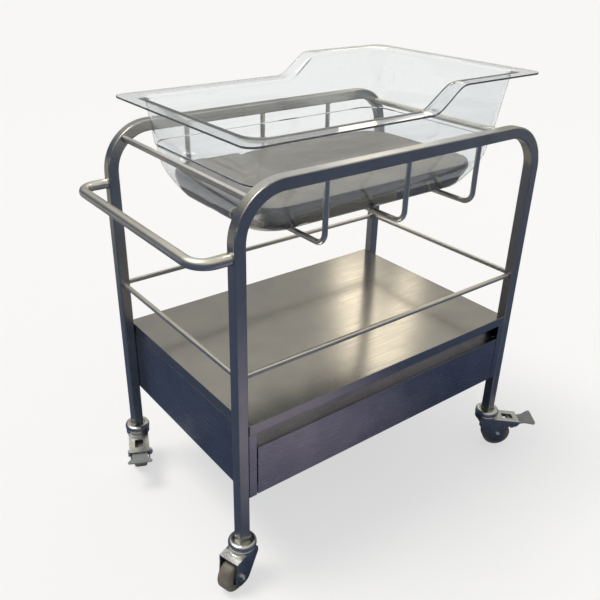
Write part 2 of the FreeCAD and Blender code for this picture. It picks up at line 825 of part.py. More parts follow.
def build_caster_head(name, x, y):
    """The fixed upper half of the swivel: a domed cap with its stem up in the leg and its kingpin down."""
    body = new_body(name)
    half = sketch_on(body, "XZ_Plane", "half")
    mouth = s.tube_side / math.sqrt(2) + s.head_mouth_gap
    rim = mouth + s.head_rim_width
    top = head_low + s.head_height
    stem = stem_diameter / 2
    pin = s.kingpin_diameter / 2
    pin_head = s.kingpin_head_diameter / 2
    pin_foot = fork_top - s.fork_sheet - s.race_gap
    draw(half, [
        (0, leg_foot + s.stem_length), (0, pin_foot - s.kingpin_head_height),
        (pin_head, pin_foot - s.kingpin_head_height), (pin_head, pin_foot), (pin, pin_foot),
        (pin, head_low), (rim, head_low, 1), (rim, top, s.head_dome_radius),
        (mouth, top, 1.5), (mouth, leg_foot), (stem, leg_foot),
        (stem, leg_foot + s.stem_length)])
    turn(body, "turned", half)
    set_place(body, x, y)
    return body


def plate_height(x):
    """Height of the fork's top plate, which slopes down from its bend beside the race."""
    return fork_top - s.fork_slope * (x - s.fork_bend)


def build_fork(name, x, y, swivel, braked):
    """The swivelling fork: folded cheeks under a top plate with the lower race pressed up out of it."""
    body = new_body(name)
    side = sketch_on(body, "XZ_Plane", "side")
    tip = s.fork_tip_radius
    low = axle_height - tip
    top = fork_top
    corner = s.fork_tip_corner
    outline = [(-s.fork_back, top, s.fork_back_depth / 3), (-s.fork_back, top - s.fork_back_depth),
               (s.trail - tip, low, corner), (s.trail + tip, low, corner)]
    cheek_low = top - s.brake_cheek_depth
    if braked:
        nose = s.trail + s.brake_reach
        outline += [(s.trail + tip, cheek_low, s.brake_nose / 2), (nose - s.brake_nose, cheek_low),
                    (nose, cheek_low + s.brake_nose)]
    else:
        nose = s.fork_front
        outline += [(nose, cheek_low)]
    draw(side, outline + [(nose, plate_height(nose)), (s.fork_bend, top)])
    pad(body, "cheeks", side, fork_width, both_ways=True)
    race = sketch_on(body, "XZ_Plane", "race")
    race_radius = s.race_diameter / 2
    lip = s.race_height / 4
    draw(race, [(0, top - s.fork_sheet), (race_radius, top - s.fork_sheet), (race_radius, race_top - lip),
                (race_radius - lip, race_top), (0, race_top)])
    turn(body, "lower_race", race)
    throat = sketch_on(body, "XZ_Plane", "throat")
    beyond = 2 * (s.trail + s.brake_reach)
    draw(throat, [(-beyond, 0), (beyond, 0), (beyond, plate_height(beyond) - s.fork_sheet),
                  (s.fork_bend, top - s.fork_sheet), (-beyond, top - s.fork_sheet)])
    cut(body, "wheel_space", throat, fork_width - 2 * s.fork_sheet, both_ways=True)
    bore = sketch_on(body, "XY_Plane", "bore")
    circle(bore, 0, 0, s.kingpin_diameter + 2 * s.axle_clearance)
    cut(body, "kingpin_bore", bore, 2 * race_top, both_ways=True)
    axle = sketch_on(body, "XZ_Plane", "axle")
    circle(axle, s.trail, axle_height, s.axle_diameter)
    cut(body, "axle_holes", axle, 2 * fork_width, both_ways=True)
    if braked:
        slot = sketch_on(body, "XY_Plane", "slot", top)
        slot_x = (race_radius + nose) / 2
        rectangle(slot, s.brake_slot_length / 2, s.brake_slot_width / 2, s.brake_slot_radius, (slot_x, 0))
        cut(body, "top_slot", slot, s.fork_crown)
    set_place(body, x, y, angle=swivel)
    return body


def build_wheel(corner, x, y, swivel):
    """The rubber tyre and the plastic hub, turned about the axle."""
    width = s.wheel_width / 2
    tyre = new_body(f"wheel_tyre_{corner}")
    ring = sketch_on(tyre, "XY_Plane", "half")
    seat = s.hub_diameter / 2
    tread = s.wheel_diameter / 2
    draw(ring, [(seat, -width), (tread, -width, s.tread_round), (tread, width, s.tread_round), (seat, width)])
    turn(tyre, "turned", ring)
    hub = new_body(f"wheel_hub_{corner}")
    disc = sketch_on(hub, "XY_Plane", "half")
    bore = s.axle_diameter / 2 + s.axle_clearance
    boss = bore + s.hub_boss_wall
    rim = seat - s.hub_rim
    web = width - s.hub_web_recess
    reach = fork_width / 2 - s.fork_sheet - s.rest_clearance
    draw(disc, [(bore, -reach), (boss, -reach), (boss, -web), (rim, -web), (rim, -width), (seat, -width),
                (seat, width), (rim, width), (rim, web), (boss, web), (boss, reach), (bore, reach)])
    turn(hub, "turned", disc)
    axle_x = x + s.trail * cosine(swivel)
    axle_y = y + s.trail * sine(swivel)
    for body in (tyre, hub):
        set_place(body, axle_x, axle_y, axle_height, angle=swivel)
    return [tyre, hub]


def hexagon(sketch, across):
    """A hexagon about the sketch's origin, from its width across the flats."""
    corner = across / 2 / math.cos(math.radians(30))
    points = []
    for step in range(6):
        angle = math.radians(60 * step)
        points.append((corner * math.cos(angle), corner * math.sin(angle)))
    draw(sketch, points)


def build_axle(name, x, y, swivel):
    """The axle bolt, with its hexagon head on one cheek and its nut on the other."""
    body = new_body(name)
    cheek = fork_width / 2
    shank = sketch_on(body, "XZ_Plane", "shank", -cheek - s.bolt_head_height - s.bolt_end)
    circle(shank, 0, 0, s.axle_diameter)
    pad(body, "shank_round", shank, fork_width + s.bolt_head_height + s.bolt_end)
    head = sketch_on(body, "XZ_Plane", "head", cheek)
    hexagon(head, s.bolt_head_size)
    pad(body, "head_hexagon", head, s.bolt_head_height)
    nut = sketch_on(body, "XZ_Plane", "nut", -cheek - s.bolt_head_height)
    hexagon(nut, s.bolt_head_size)
    pad(body, "nut_hexagon", nut, s.bolt_head_height)
    set_place(body, x + s.trail * cosine(swivel), y + s.trail * sine(swivel), axle_height, angle=swivel)
    return body


def build_pedal(name, x, y, swivel):
    """The brake lever: a plate with a flared tip, a sleeve on its pin and a shoe over the tread."""
    body = new_body(name)
    tip = s.pedal_length
    flare = tip - s.pedal_flare_length
    neck = s.pedal_neck_width / 2
    wide = s.pedal_tip_width / 2
    level = s.pedal_thickness / 2
    plate = sketch_on(body, "XZ_Plane", "plate")
    crank = s.pedal_crank
    bend = s.pedal_crank_radius
    rise = s.pedal_rise
    draw(plate, [(0, -level), (crank, -level, bend), (tip, rise - level), (tip, rise + level),
                 (crank, level, bend), (0, level)])
    pad(body, "lever_plate", plate, 2 * wide, both_ways=True)
    beyond = tip + level
    ear = tip - s.pedal_ear_side
    ear_end = wide - s.pedal_ear_end
    for word, side in (("near", -1), ("far", 1)):
        trim = sketch_on(body, "XY_Plane", f"{word}_trim", -tip)
        outer = side * (wide + level)
        draw(trim, [(-level, side * neck), (flare, side * neck, s.pedal_neck_radius),
                    (ear, side * wide, s.pedal_ear_radius), (beyond, side * ear_end), (beyond, outer), (-level, outer)])
        cut(body, f"{word}_flare", trim, 2 * tip, backwards=True)
    sleeve = sketch_on(body, "XZ_Plane", "sleeve")
    circle(sleeve, 0, 0, s.pedal_pin_diameter + 2 * s.pedal_sleeve_wall)
    pad(body, "pin_sleeve", sleeve, 2 * neck, both_ways=True)
    shoe = sketch_on(body, "XZ_Plane", "shoe")
    near = s.shoe_reach
    draw(shoe, [(near, -s.shoe_drop), (near + s.shoe_length, -s.shoe_drop), (near + s.shoe_length, 0), (near, 0)])
    pad(body, "shoe_block", shoe, s.pedal_neck_width, both_ways=True)
    pin_hole = sketch_on(body, "XZ_Plane", "pin_hole")
    circle(pin_hole, 0, 0, s.pedal_pin_diameter + 2 * s.axle_clearance)
    cut(body, "pin_bore", pin_hole, 2 * fork_width, both_ways=True)
    place_on_pivot(body, x, y, swivel)
    return body


def place_on_pivot(body, x, y, swivel):
    """Put a brake piece on the pedal's pivot, turned with its caster."""
    pivot = s.trail + s.pedal_pivot_reach
    set_place(body, x + pivot * cosine(swivel), y + pivot * sine(swivel), fork_top - s.pedal_drop, angle=swivel)


def build_brake_pin(name, x, y, swivel):
    """The pin through the fork's cheeks on which the brake lever turns."""
    body = new_body(name)
    section = sketch_on(body, "XZ_Plane", "section")
    circle(section, 0, 0, s.pedal_pin_diameter)
    pad(body, "round", section, fork_width - 2 * s.fork_sheet, both_ways=True)
    place_on_pivot(body, x, y, swivel)
    return body


def build_leg_plugs():
    """The square inserts at the feet of the four legs, bored for the casters' stems."""
    body = new_body("leg_plugs")
    section = sketch_on(body, "XY_Plane", "section", leg_foot)
    half = s.tube_side / 2 - s.tube_wall - s.plug_clearance
    for side_x in (-1, 1):
        for side_y in (-1, 1):
            centre = (side_x * leg_x, side_y * leg_y)
            rectangle(section, half, half, s.tube_corner_radius - s.tube_wall, centre)
            circle(section, centre[0], centre[1], stem_diameter + 2 * s.plug_clearance)
    pad(body, "insert", section, s.stem_length)
    return body


def build_caster(corner, side_x, side_y, swivel, braked):
    """One caster below one leg."""
    x, y = side_x * leg_x, side_y * leg_y
    items = [build_caster_head(f"caster_head_{corner}", x, y),
             build_fork(f"caster_fork_{corner}", x, y, swivel, braked)]
    items += build_wheel(corner, x, y, swivel)
    items.append(build_axle(f"caster_axle_{corner}", x, y, swivel))
    if braked:
        items.append(build_brake_pin(f"brake_pin_{corner}", x, y, swivel))
        items.append(build_pedal(f"brake_pedal_{corner}", x, y, swivel))
    return items


def build_all():
    """Every sub-part of the bassinet, in the order in which it is put together."""
    items = [build_side_frame("side_frame_near", -1), build_side_frame("side_frame_far", 1),
             build_cross_rod("cross_rod_foot", -1), build_cross_rod("cross_rod_head", 1), build_handle()]
    items += build_guard_rods()
    for word, place in (("foot", -1), ("middle", 0), ("head", 1)):
        items.append(build_cradle_rod(f"cradle_rod_{word}", place))
    items += [build_cabinet_top(), build_side_panel("cabinet_side_foot", -1),
              build_side_panel("cabinet_side_head", 1), build_back_panel(), build_base_pan(),
              build_runner("drawer_runner_foot", -1), build_runner("drawer_runner_head", 1)]
    items += [build_drawer_front(), build_drawer_box()] + build_rollers()
    items += [build_basin(), build_mattress(), build_leg_plugs()]
    items += build_caster("near_foot", -1, -1, s.swivel_near_foot, False)
    items += build_caster("far_foot", -1, 1, s.swivel_far_foot, True)
    items += build_caster("near_head", 1, -1, s.swivel_near_head, True)
    items += build_caster("far_head", 1, 1, s.swivel_far_head, False)
    return items


def check_and_write(items):
    """Stop on any object that failed, then write each sub-part to its own file."""
    doc.recompute()
    for item in doc.Objects:
        if "Invalid" in item.State or "Error" in item.State:
            raise ValueError(f"{item.Name} did not compute: {item.State}")
    os.makedirs("parts", exist_ok=True)
    for item in items:
        if item.Shape.isNull() or not item.Shape.isValid():
            raise ValueError(f"{item.Label} has no valid shape")
        item.Shape.exportStep(f"parts/{item.Label}.step")
        print(f"{item.Label}: {len(item.Shape.Solids)} solid, {item.Shape.Volume / 1000:.1f} cm3")


check_and_write(build_all())
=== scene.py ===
# %% [markdown]
# # A hospital bassinet on its trolley
# The frame is already made: every tube, panel, caster and the drawer are solids at their real size.
# This lesson dresses that frame. Each step says what the piece or finish is on the real object,
# how it could be made, and why this way was chosen. All lengths are metres.

# %% Load the frame
import math

import bmesh
import bpy
from mathutils import Matrix, Vector
from mathutils.bvhtree import BVHTree


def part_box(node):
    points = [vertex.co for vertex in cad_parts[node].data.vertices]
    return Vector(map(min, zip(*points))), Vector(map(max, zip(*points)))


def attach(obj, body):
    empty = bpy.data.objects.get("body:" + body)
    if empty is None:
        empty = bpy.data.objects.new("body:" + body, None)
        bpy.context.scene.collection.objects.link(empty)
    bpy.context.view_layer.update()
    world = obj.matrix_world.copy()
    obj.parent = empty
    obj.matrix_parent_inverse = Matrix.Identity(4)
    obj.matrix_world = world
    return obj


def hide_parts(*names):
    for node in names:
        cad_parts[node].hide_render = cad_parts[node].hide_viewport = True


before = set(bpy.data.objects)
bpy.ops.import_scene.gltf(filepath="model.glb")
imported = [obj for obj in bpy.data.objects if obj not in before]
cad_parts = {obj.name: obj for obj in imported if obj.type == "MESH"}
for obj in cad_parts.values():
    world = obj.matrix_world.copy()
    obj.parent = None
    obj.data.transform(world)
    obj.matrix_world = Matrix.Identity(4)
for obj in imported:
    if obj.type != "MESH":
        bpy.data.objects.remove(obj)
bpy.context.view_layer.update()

MM = 0.001
SAME_PLACE = 1e-6
SHELF_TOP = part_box("cabinet_top")[1].z
RAIL_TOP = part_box("side_frame_near")[1].z
print("nodes in the frame:", len(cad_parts))

# %% [markdown]
# Colours are written as sRGB hex values, the way a paint chart or a browser gives them, and the shaders
# want linear light. One function turns the one into the other. A second one adds a node with its
# settings and its links, so that a material reads from top to bottom like a recipe. The last ones make
# meshes: a skin over rings of points is enough for the beads, the basin, the mattress and its piping.


# %% Helpers for colours, nodes and meshes
def linear(code, alpha=1.0):
    """sRGB hex to linear RGBA."""
    parts = [int(code[i:i + 2], 16) / 255 for i in (1, 3, 5)]
    return [p / 12.92 if p <= 0.04045 else ((p + 0.055) / 1.055) ** 2.4 for p in parts] + [alpha]


def add_node(tree, kind, settings=None, inputs=None, stops=()):
    """Add a node; inputs maps a socket's name or number to a value or to another node's output.

    A colour ramp also takes stops, which are pairs of a position and a hex colour.
    """
    node = tree.nodes.new(kind)
    for name, value in (settings or {}).items():
        setattr(node, name, value)
    for name, value in (inputs or {}).items():
        if isinstance(value, bpy.types.NodeSocket):
            tree.links.new(value, node.inputs[name])
        else:
            node.inputs[name].default_value = value
    if stops:
        for element, (position, colour) in zip(node.color_ramp.elements, stops):
            element.position = position
            element.color = linear(colour)
    return node


def new_material(name):
    """An empty node material, its output node and the object's own coordinates in metres."""
    material = bpy.data.materials.new(name)
    material.use_nodes = True
    tree = material.node_tree
    tree.nodes.clear()
    output = add_node(tree, "ShaderNodeOutputMaterial")
    place = add_node(tree, "ShaderNodeTexCoord")
    return material, tree, output, place.outputs["Object"]


def add_object(name, data):
    """Put a mesh, a lamp or a camera into the scene as an object."""
    item = bpy.data.objects.new(name, data)
    bpy.context.scene.collection.objects.link(item)
    return item


def mesh_from(name, vertices, faces, smooth=True):
    """A mesh object from plain lists, with its normals turned outwards."""
    data = bpy.data.meshes.new(name)
    data.from_pydata(vertices, [], faces)
    form = bmesh.new()
    form.from_mesh(data)
    bmesh.ops.recalc_face_normals(form, faces=form.faces)
    form.to_mesh(data)
    form.free()
    data.polygons.foreach_set("use_smooth", [smooth] * len(data.polygons))
    return add_object(name, data)


def apply_modifiers(item):
    """Bake an object's modifiers into its mesh."""
    graph = bpy.context.evaluated_depsgraph_get()
    data = bpy.data.meshes.new_from_object(item.evaluated_get(graph))
    item.modifiers.clear()
    old = item.data
    item.data = data
    bpy.data.meshes.remove(old)
    return item


def bridge_rings(rings, closed_ends=True):
    """Vertices and faces of a skin over rings of points, each ring with as many points."""
    count = len(rings[0])
    vertices = [tuple(point) for ring in rings for point in ring]
    faces = []
    for level in range(len(rings) - 1):
        for index in range(count):
            follower = (index + 1) % count
            low, high = level * count, (level + 1) * count
            faces.append((low + index, low + follower, high + follower, high + index))
    if closed_ends:
        faces.append(tuple(reversed(range(count))))
        faces.append(tuple(range((len(rings) - 1) * count, len(rings) * count)))
    return vertices, faces


def merge_seam(item):
    """Join the first ring of a closed tube to its last one, which lies in the same place."""
    form = bmesh.new()
    form.from_mesh(item.data)
    bmesh.ops.remove_doubles(form, verts=form.verts, dist=SAME_PLACE)
    form.to_mesh(item.data)
    form.free()


# %% [markdown]
# The camera stands at the near foot corner, a little above the rim, and looks down on the trolley. Its
# place, its lens and its small shift are those that make the frame's own edges fall where the
# photograph has them, so the render and the photograph can be laid over each other.

# %% Camera
CAMERA_PLACE = Vector((-0.8782, -1.0372, SHELF_TOP + 0.7445))
CAMERA_AZIMUTH = math.radians(37.02)
CAMERA_DOWN = math.radians(27.56)
CAMERA_ROLL = math.radians(0.86)
FOCAL_PIXELS = 707.06
IMAGE_SIZE = 600
IMAGE_CENTRE = (284.94, 302.97)


def make_camera():
    """The camera that sees the trolley as the photograph does."""
    data = bpy.data.cameras.new("camera")
    data.sensor_width = 36
    data.lens = FOCAL_PIXELS / IMAGE_SIZE * data.sensor_width
    data.shift_x = (IMAGE_SIZE / 2 - IMAGE_CENTRE[0]) / IMAGE_SIZE
    data.shift_y = (IMAGE_CENTRE[1] - IMAGE_SIZE / 2) / IMAGE_SIZE
    camera = add_object("camera", data)
    level = math.cos(CAMERA_DOWN)
    forward = Vector((math.sin(CAMERA_AZIMUTH) * level, math.cos(CAMERA_AZIMUTH) * level,
                      -math.sin(CAMERA_DOWN)))
    right = Vector((math.cos(CAMERA_AZIMUTH), -math.sin(CAMERA_AZIMUTH), 0))
    up = right.cross(forward)
    rolled_right = right * math.cos(CAMERA_ROLL) + up * math.sin(CAMERA_ROLL)
    rolled_up = up * math.cos(CAMERA_ROLL) - right * math.sin(CAMERA_ROLL)
    turn = Matrix((rolled_right, rolled_up, -forward)).transposed()
    camera.matrix_world = Matrix.Translation(CAMERA_PLACE) @ turn.to_4x4()
    bpy.context.scene.camera = camera
    return camera


make_camera()
print("lens:", round(bpy.context.scene.camera.data.lens, 2), "mm")

# %% [markdown]
# A plain studio: a pale floor, an even sky for the soft fill, one wide sun as the key light and two tall
# window softboxes beyond the trolley. Bare metal shows what stands round it. In an all-white studio it
# would look like chalk, so metal sees a dimmer room: a slate floor with a paler patch before the drawer,
# a pale horizon beyond, and a dim cool wall on the camera's side. That gives steel its dark faces.

# %% Stage and light
FLOOR_REACH = 30
FLOOR_DROP = 0.5 * MM
FLOOR_COLOUR = "#f3f3f2"
FLOOR_GLOW = 0.6
FLOOR_IN_METAL = "#4b5873"
FAR_FLOOR_IN_METAL = "#a9a7a0"
FAR_FLOOR_WAY = (0.6, 0.8, 0)
FAR_FLOOR_SPAN = (0.1, 1.3)
PATCH_IN_METAL = "#a39eb4"
PATCH_PLACE = (0.0, -0.62, 0)
PATCH_SPAN = (0.05, 0.5)
ROOM_NEAR = "#4a5469"
ROOM_FAR = "#aeaca5"
ROOM_FAR_WAY = (0.966, 0.259, 0.0)
ROOM_FAR_SPAN = (0.15, 0.85)
ROOM_ABOVE = "#dedacf"
ROOM_ABOVE_SPAN = (0.36, 0.64)
SOFT_FILL = "#b4b5b6"
BACKDROP = "#f7f7f6"
SUN_COLOUR = "#fff9f1"
SUN_DISTANCE = 4
WINDOW_COLOUR = "#fff1d6"
WINDOW_DISTANCE = 3.4


def make_floor():
    """A floor that is white to the camera and through acrylic, and slate in bare metal's reflections."""
    size = FLOOR_REACH
    corners = [(-size, -size, 0), (size, -size, 0), (size, size, 0), (-size, size, 0)]
    floor = mesh_from("studio_floor", corners, [(0, 1, 2, 3)], smooth=False)
    floor.location.z = -FLOOR_DROP
    material, tree, output, place = new_material("matt_floor_paint")
    reach = add_node(tree, "ShaderNodeVectorMath", {"operation": "DISTANCE"}, {0: place, 1: PATCH_PLACE})
    patch = add_node(tree, "ShaderNodeMapRange", {"interpolation_type": "SMOOTHSTEP"},
                     {"Value": reach.outputs["Value"], "From Min": PATCH_SPAN[0], "From Max": PATCH_SPAN[1],
                      "To Min": 1.0, "To Max": 0.0})
    beyond = add_node(tree, "ShaderNodeVectorMath", {"operation": "DOT_PRODUCT"},
                      {0: place, 1: FAR_FLOOR_WAY})
    far = add_node(tree, "ShaderNodeMapRange", {"interpolation_type": "SMOOTHSTEP"},
                   {"Value": beyond.outputs["Value"], "From Min": FAR_FLOOR_SPAN[0],
                    "From Max": FAR_FLOOR_SPAN[1]})
    ground = add_node(tree, "ShaderNodeMix", {"data_type": "RGBA"},
                      {"Factor": far.outputs["Result"], "A": linear(FLOOR_IN_METAL),
                       "B": linear(FAR_FLOOR_IN_METAL)})
    mirrored = add_node(tree, "ShaderNodeMix", {"data_type": "RGBA"},
                        {"Factor": patch.outputs["Result"], "A": ground.outputs["Result"],
                         "B": linear(PATCH_IN_METAL)})
    rays = add_node(tree, "ShaderNodeLightPath")
    outside = add_node(tree, "ShaderNodeMath", {"operation": "SUBTRACT"},
                       {0: 1.0, 1: rays.outputs["Is Transmission Ray"]})
    metal = add_node(tree, "ShaderNodeMath", {"operation": "MULTIPLY"},
                     {0: rays.outputs["Is Glossy Ray"], 1: outside.outputs["Value"]})
    colour = add_node(tree, "ShaderNodeMix", {"data_type": "RGBA"},
                      {"Factor": metal.outputs["Value"], "A": linear(FLOOR_COLOUR),
                       "B": mirrored.outputs["Result"]})
    paint = add_node(tree, "ShaderNodeBsdfPrincipled",
                     inputs={"Base Color": colour.outputs["Result"], "Roughness": 0.9,
                             "Specular IOR Level": 0.1})
    white = add_node(tree, "ShaderNodeEmission", inputs={"Color": linear("#ffffff"), "Strength": 1.0})
    seen = add_node(tree, "ShaderNodeMath", {"operation": "MAXIMUM"},
                    {0: rays.outputs["Is Camera Ray"], 1: rays.outputs["Is Transmission Ray"]})
    glow = add_node(tree, "ShaderNodeMath", {"operation": "MULTIPLY"},
                    {0: seen.outputs["Value"], 1: FLOOR_GLOW})
    mixed = add_node(tree, "ShaderNodeMixShader",
                     inputs={0: glow.outputs["Value"], 1: paint.outputs["BSDF"],
                             2: white.outputs["Emission"]})
    tree.links.new(mixed.outputs["Shader"], output.inputs["Surface"])
    floor.data.materials.append(material)
    return floor


def make_sky():
    """The backdrop for the camera and for clear plastic, and the room that metal reflects."""
    world = bpy.data.worlds.new("studio")
    bpy.context.scene.world = world
    world.use_nodes = True
    tree = world.node_tree
    tree.nodes.clear()
    way = add_node(tree, "ShaderNodeTexCoord").outputs["Generated"]
    side = add_node(tree, "ShaderNodeVectorMath", {"operation": "DOT_PRODUCT"}, {0: way, 1: ROOM_FAR_WAY})
    far = add_node(tree, "ShaderNodeMapRange",
                   inputs={"Value": side.outputs["Value"], "From Min": ROOM_FAR_SPAN[0],
                           "From Max": ROOM_FAR_SPAN[1]})
    around = add_node(tree, "ShaderNodeMix", {"data_type": "RGBA"},
                      {"Factor": far.outputs["Result"], "A": linear(ROOM_NEAR), "B": linear(ROOM_FAR)})
    height = add_node(tree, "ShaderNodeSeparateXYZ", inputs={"Vector": way})
    above = add_node(tree, "ShaderNodeMapRange",
                     inputs={"Value": height.outputs["Z"], "From Min": ROOM_ABOVE_SPAN[0],
                             "From Max": ROOM_ABOVE_SPAN[1]})
    room = add_node(tree, "ShaderNodeMix", {"data_type": "RGBA"},
                    {"Factor": above.outputs["Result"], "A": around.outputs["Result"],
                     "B": linear(ROOM_ABOVE)})
    rays = add_node(tree, "ShaderNodeLightPath")
    seen = add_node(tree, "ShaderNodeMath", {"operation": "MAXIMUM"},
                    {0: rays.outputs["Is Camera Ray"], 1: rays.outputs["Is Transmission Ray"]})
    fill = add_node(tree, "ShaderNodeMix", {"data_type": "RGBA"},
                    {"Factor": rays.outputs["Is Glossy Ray"], "A": linear(SOFT_FILL),
                     "B": room.outputs["Result"]})
    colour = add_node(tree, "ShaderNodeMix", {"data_type": "RGBA"},
                      {"Factor": seen.outputs["Value"], "A": fill.outputs["Result"], "B": linear(BACKDROP)})
    light = add_node(tree, "ShaderNodeBackground",
                     inputs={"Color": colour.outputs["Result"], "Strength": 1.0})
    output = add_node(tree, "ShaderNodeOutputWorld")
    tree.links.new(light.outputs["Background"], output.inputs["Surface"])


def aim(item, target):
    """Turn a lamp so that it shines at the target."""
    item.rotation_euler = (Vector(target) - item.location).to_track_quat("-Z", "Y").to_euler()


def add_sun(name, direction, strength, width_degrees):
    """The key light, as wide in the sky as its width in degrees."""
    data = bpy.data.lights.new(name, "SUN")
    data.energy = strength
    data.angle = math.radians(width_degrees)
    data.color = linear(SUN_COLOUR)[:3]
    lamp = add_object(name, data)
    lamp.location = Vector(direction) * SUN_DISTANCE
    aim(lamp, (0, 0, 0))
    return lamp


def add_window(name, azimuth, elevation, width, height, lean, radiance):
    """A tall softbox, its angles in degrees as seen from the shelf, and its azimuth from +Y to +X."""
    data = bpy.data.lights.new(name, "AREA")
    data.shape = "RECTANGLE"
    data.size = width
    data.size_y = height
    data.energy = radiance * math.pi * width * height
    data.color = linear(WINDOW_COLOUR)[:3]
    lamp = add_object(name, data)
    angle, rise = math.radians(azimuth), math.radians(elevation)
    centre = Vector((0, 0, SHELF_TOP))
    lamp.location = centre + WINDOW_DISTANCE * Vector((math.sin(angle) * math.cos(rise),
                                                       math.cos(angle) * math.cos(rise), math.sin(rise)))
    aim(lamp, centre)
    lamp.rotation_euler.rotate_axis("Z", math.radians(lean))
    return lamp


make_floor()
make_sky()
add_sun("key_sun", direction=(-0.35, 0.25, 1.0), strength=1.7, width_degrees=24)
add_window("window_wide", azimuth=45.5, elevation=28.4, width=0.24, height=0.84, lean=15, radiance=2.5)
add_window("window_narrow", azimuth=51.0, elevation=28.1, width=0.15, height=0.66, lean=-6, radiance=2.3)
scene = bpy.context.scene
scene.view_settings.view_transform = "Standard"

# %% [markdown]
# The trolley is austenitic stainless steel, linished with a fine belt. The belt leaves short parallel
# scratches, so a lamp's reflection is drawn out across them. A real scratch is a few hundredths of a
# millimetre wide and would vanish here, so the grain is drawn about a millimetre wide. Tube is linished
# lengthwise: along Z in the legs and along X in the top rails. A metal keeps the default IOR. Folded sheet
# never has a knife edge, and the bevel node rounds its folds, so that they catch a thin line of light.

# %% Stainless steel
GRAIN_WIDTH = 1.1 * MM
GRAIN_LENGTH = 90 * MM
GRAIN_DEPTH = 0.1 * MM
# Between these two heights the grain turns from the legs' way to the top rails' way.
GRAIN_TURN = (RAIL_TOP - 74 * MM, RAIL_TOP - 34 * MM)
CLOUD_SIZE = 60 * MM
FOLD_RADIUS = 1.2 * MM
X_AXIS, Y_AXIS, Z_AXIS = 0, 1, 2


def stretched_noise(tree, place, lengths, detail=3.0):
    """Noise whose features are as long in X, Y and Z as the lengths say."""
    scale = add_node(tree, "ShaderNodeMapping", {"vector_type": "POINT"},
                     {"Vector": place, "Scale": [1 / length for length in lengths]})
    noise = add_node(tree, "ShaderNodeTexNoise",
                     inputs={"Vector": scale.outputs["Vector"], "Scale": 1.0, "Detail": detail})
    return noise.outputs["Fac"]


def linished_steel(name, along, roughness, colour, shade, second=None):
    """Linished stainless steel; along is the grain's axis, and second is its axis above the bends."""
    material, tree, output, place = new_material(name)

    def lengths(axis):
        return [GRAIN_LENGTH if i == axis else GRAIN_WIDTH for i in range(3)]

    grain = stretched_noise(tree, place, lengths(along))
    if second is not None:
        upper = stretched_noise(tree, place, lengths(second))
        height = add_node(tree, "ShaderNodeSeparateXYZ", inputs={"Vector": place})
        share = add_node(tree, "ShaderNodeMapRange", {"interpolation_type": "SMOOTHSTEP"},
                         {"Value": height.outputs["Z"], "From Min": GRAIN_TURN[0],
                          "From Max": GRAIN_TURN[1]})
        both = add_node(tree, "ShaderNodeMix", {"data_type": "FLOAT"},
                        {"Factor": share.outputs["Result"], "A": grain, "B": upper})
        grain = both.outputs["Result"]
    cloud = stretched_noise(tree, place, [CLOUD_SIZE] * 3, detail=2.0)
    tone = add_node(tree, "ShaderNodeValToRGB", inputs={"Fac": cloud}, stops=[(0.3, colour), (0.7, shade)])
    rough = add_node(tree, "ShaderNodeMapRange",
                     inputs={"Value": grain, "From Min": 0.3, "From Max": 0.7,
                             "To Min": roughness - 0.04, "To Max": roughness + 0.05})
    fold = add_node(tree, "ShaderNodeBevel", {"samples": 6}, {"Radius": FOLD_RADIUS})
    bump = add_node(tree, "ShaderNodeBump",
                    inputs={"Height": grain, "Strength": 0.05, "Distance": GRAIN_DEPTH,
                            "Normal": fold.outputs["Normal"]})
    metal = add_node(tree, "ShaderNodeBsdfPrincipled",
                     inputs={"Base Color": tone.outputs["Color"], "Metallic": 1.0,
                             "Roughness": rough.outputs["Result"], "Normal": bump.outputs["Normal"]})
    tree.links.new(metal.outputs["BSDF"], output.inputs["Surface"])
    return material


tube_steel = linished_steel("linished_stainless_tube", Z_AXIS, 0.3, "#c6c4be", "#bab8b2", second=X_AXIS)
rod_steel = linished_steel("drawn_stainless_rod", Y_AXIS, 0.32, "#e6e3d9", "#dbd8ce")
long_rod_steel = linished_steel("drawn_stainless_long_rod", X_AXIS, 0.32, "#e6e3d9", "#dbd8ce")
shelf_steel = linished_steel("cold_rolled_stainless_shelf", X_AXIS, 0.19, "#b6b4ae", "#aeacaa")
panel_steel = linished_steel("brushed_stainless_panel", X_AXIS, 0.25, "#b4b3b4", "#a3a2a8")
end_panel_steel = linished_steel("brushed_stainless_end_panel", Y_AXIS, 0.25, "#b4b3b4", "#a3a2a8")
print("steel materials:", [m.name for m in bpy.data.materials if "stainless" in m.name])

# %% [markdown]
# The casters are pressed steel with bright zinc plate. Zinc is laid on in a bath, so it is smooth and a
# little milky, with a faint crystal bloom. The tyres are grey rubber: moulded, matt, a little dusty, and
# scuffed where they roll. The hubs are moulded polypropylene and the brake levers are grey enamel.


# %% Zinc, rubber, moulded plastic and enamel
BLOOM_SIZE = 16 * MM
RELIEF_SIZE = 0.9 * MM
RELIEF_DEPTH = 0.2 * MM


def zinc_plate():
    """Bright zinc: a smooth metal whose tone and polish wander a little."""
    material, tree, output, place = new_material("bright_zinc_plate")
    bloom = stretched_noise(tree, place, [BLOOM_SIZE] * 3, detail=2.0)
    tone = add_node(tree, "ShaderNodeValToRGB", inputs={"Fac": bloom},
                    stops=[(0.3, "#bec1c3"), (0.7, "#d0d1cd")])
    rough = add_node(tree, "ShaderNodeMapRange", inputs={"Value": bloom, "To Min": 0.24, "To Max": 0.33})
    metal = add_node(tree, "ShaderNodeBsdfPrincipled",
                     inputs={"Base Color": tone.outputs["Color"], "Metallic": 1.0,
                             "Roughness": rough.outputs["Result"]})
    tree.links.new(metal.outputs["BSDF"], output.inputs["Surface"])
    return material


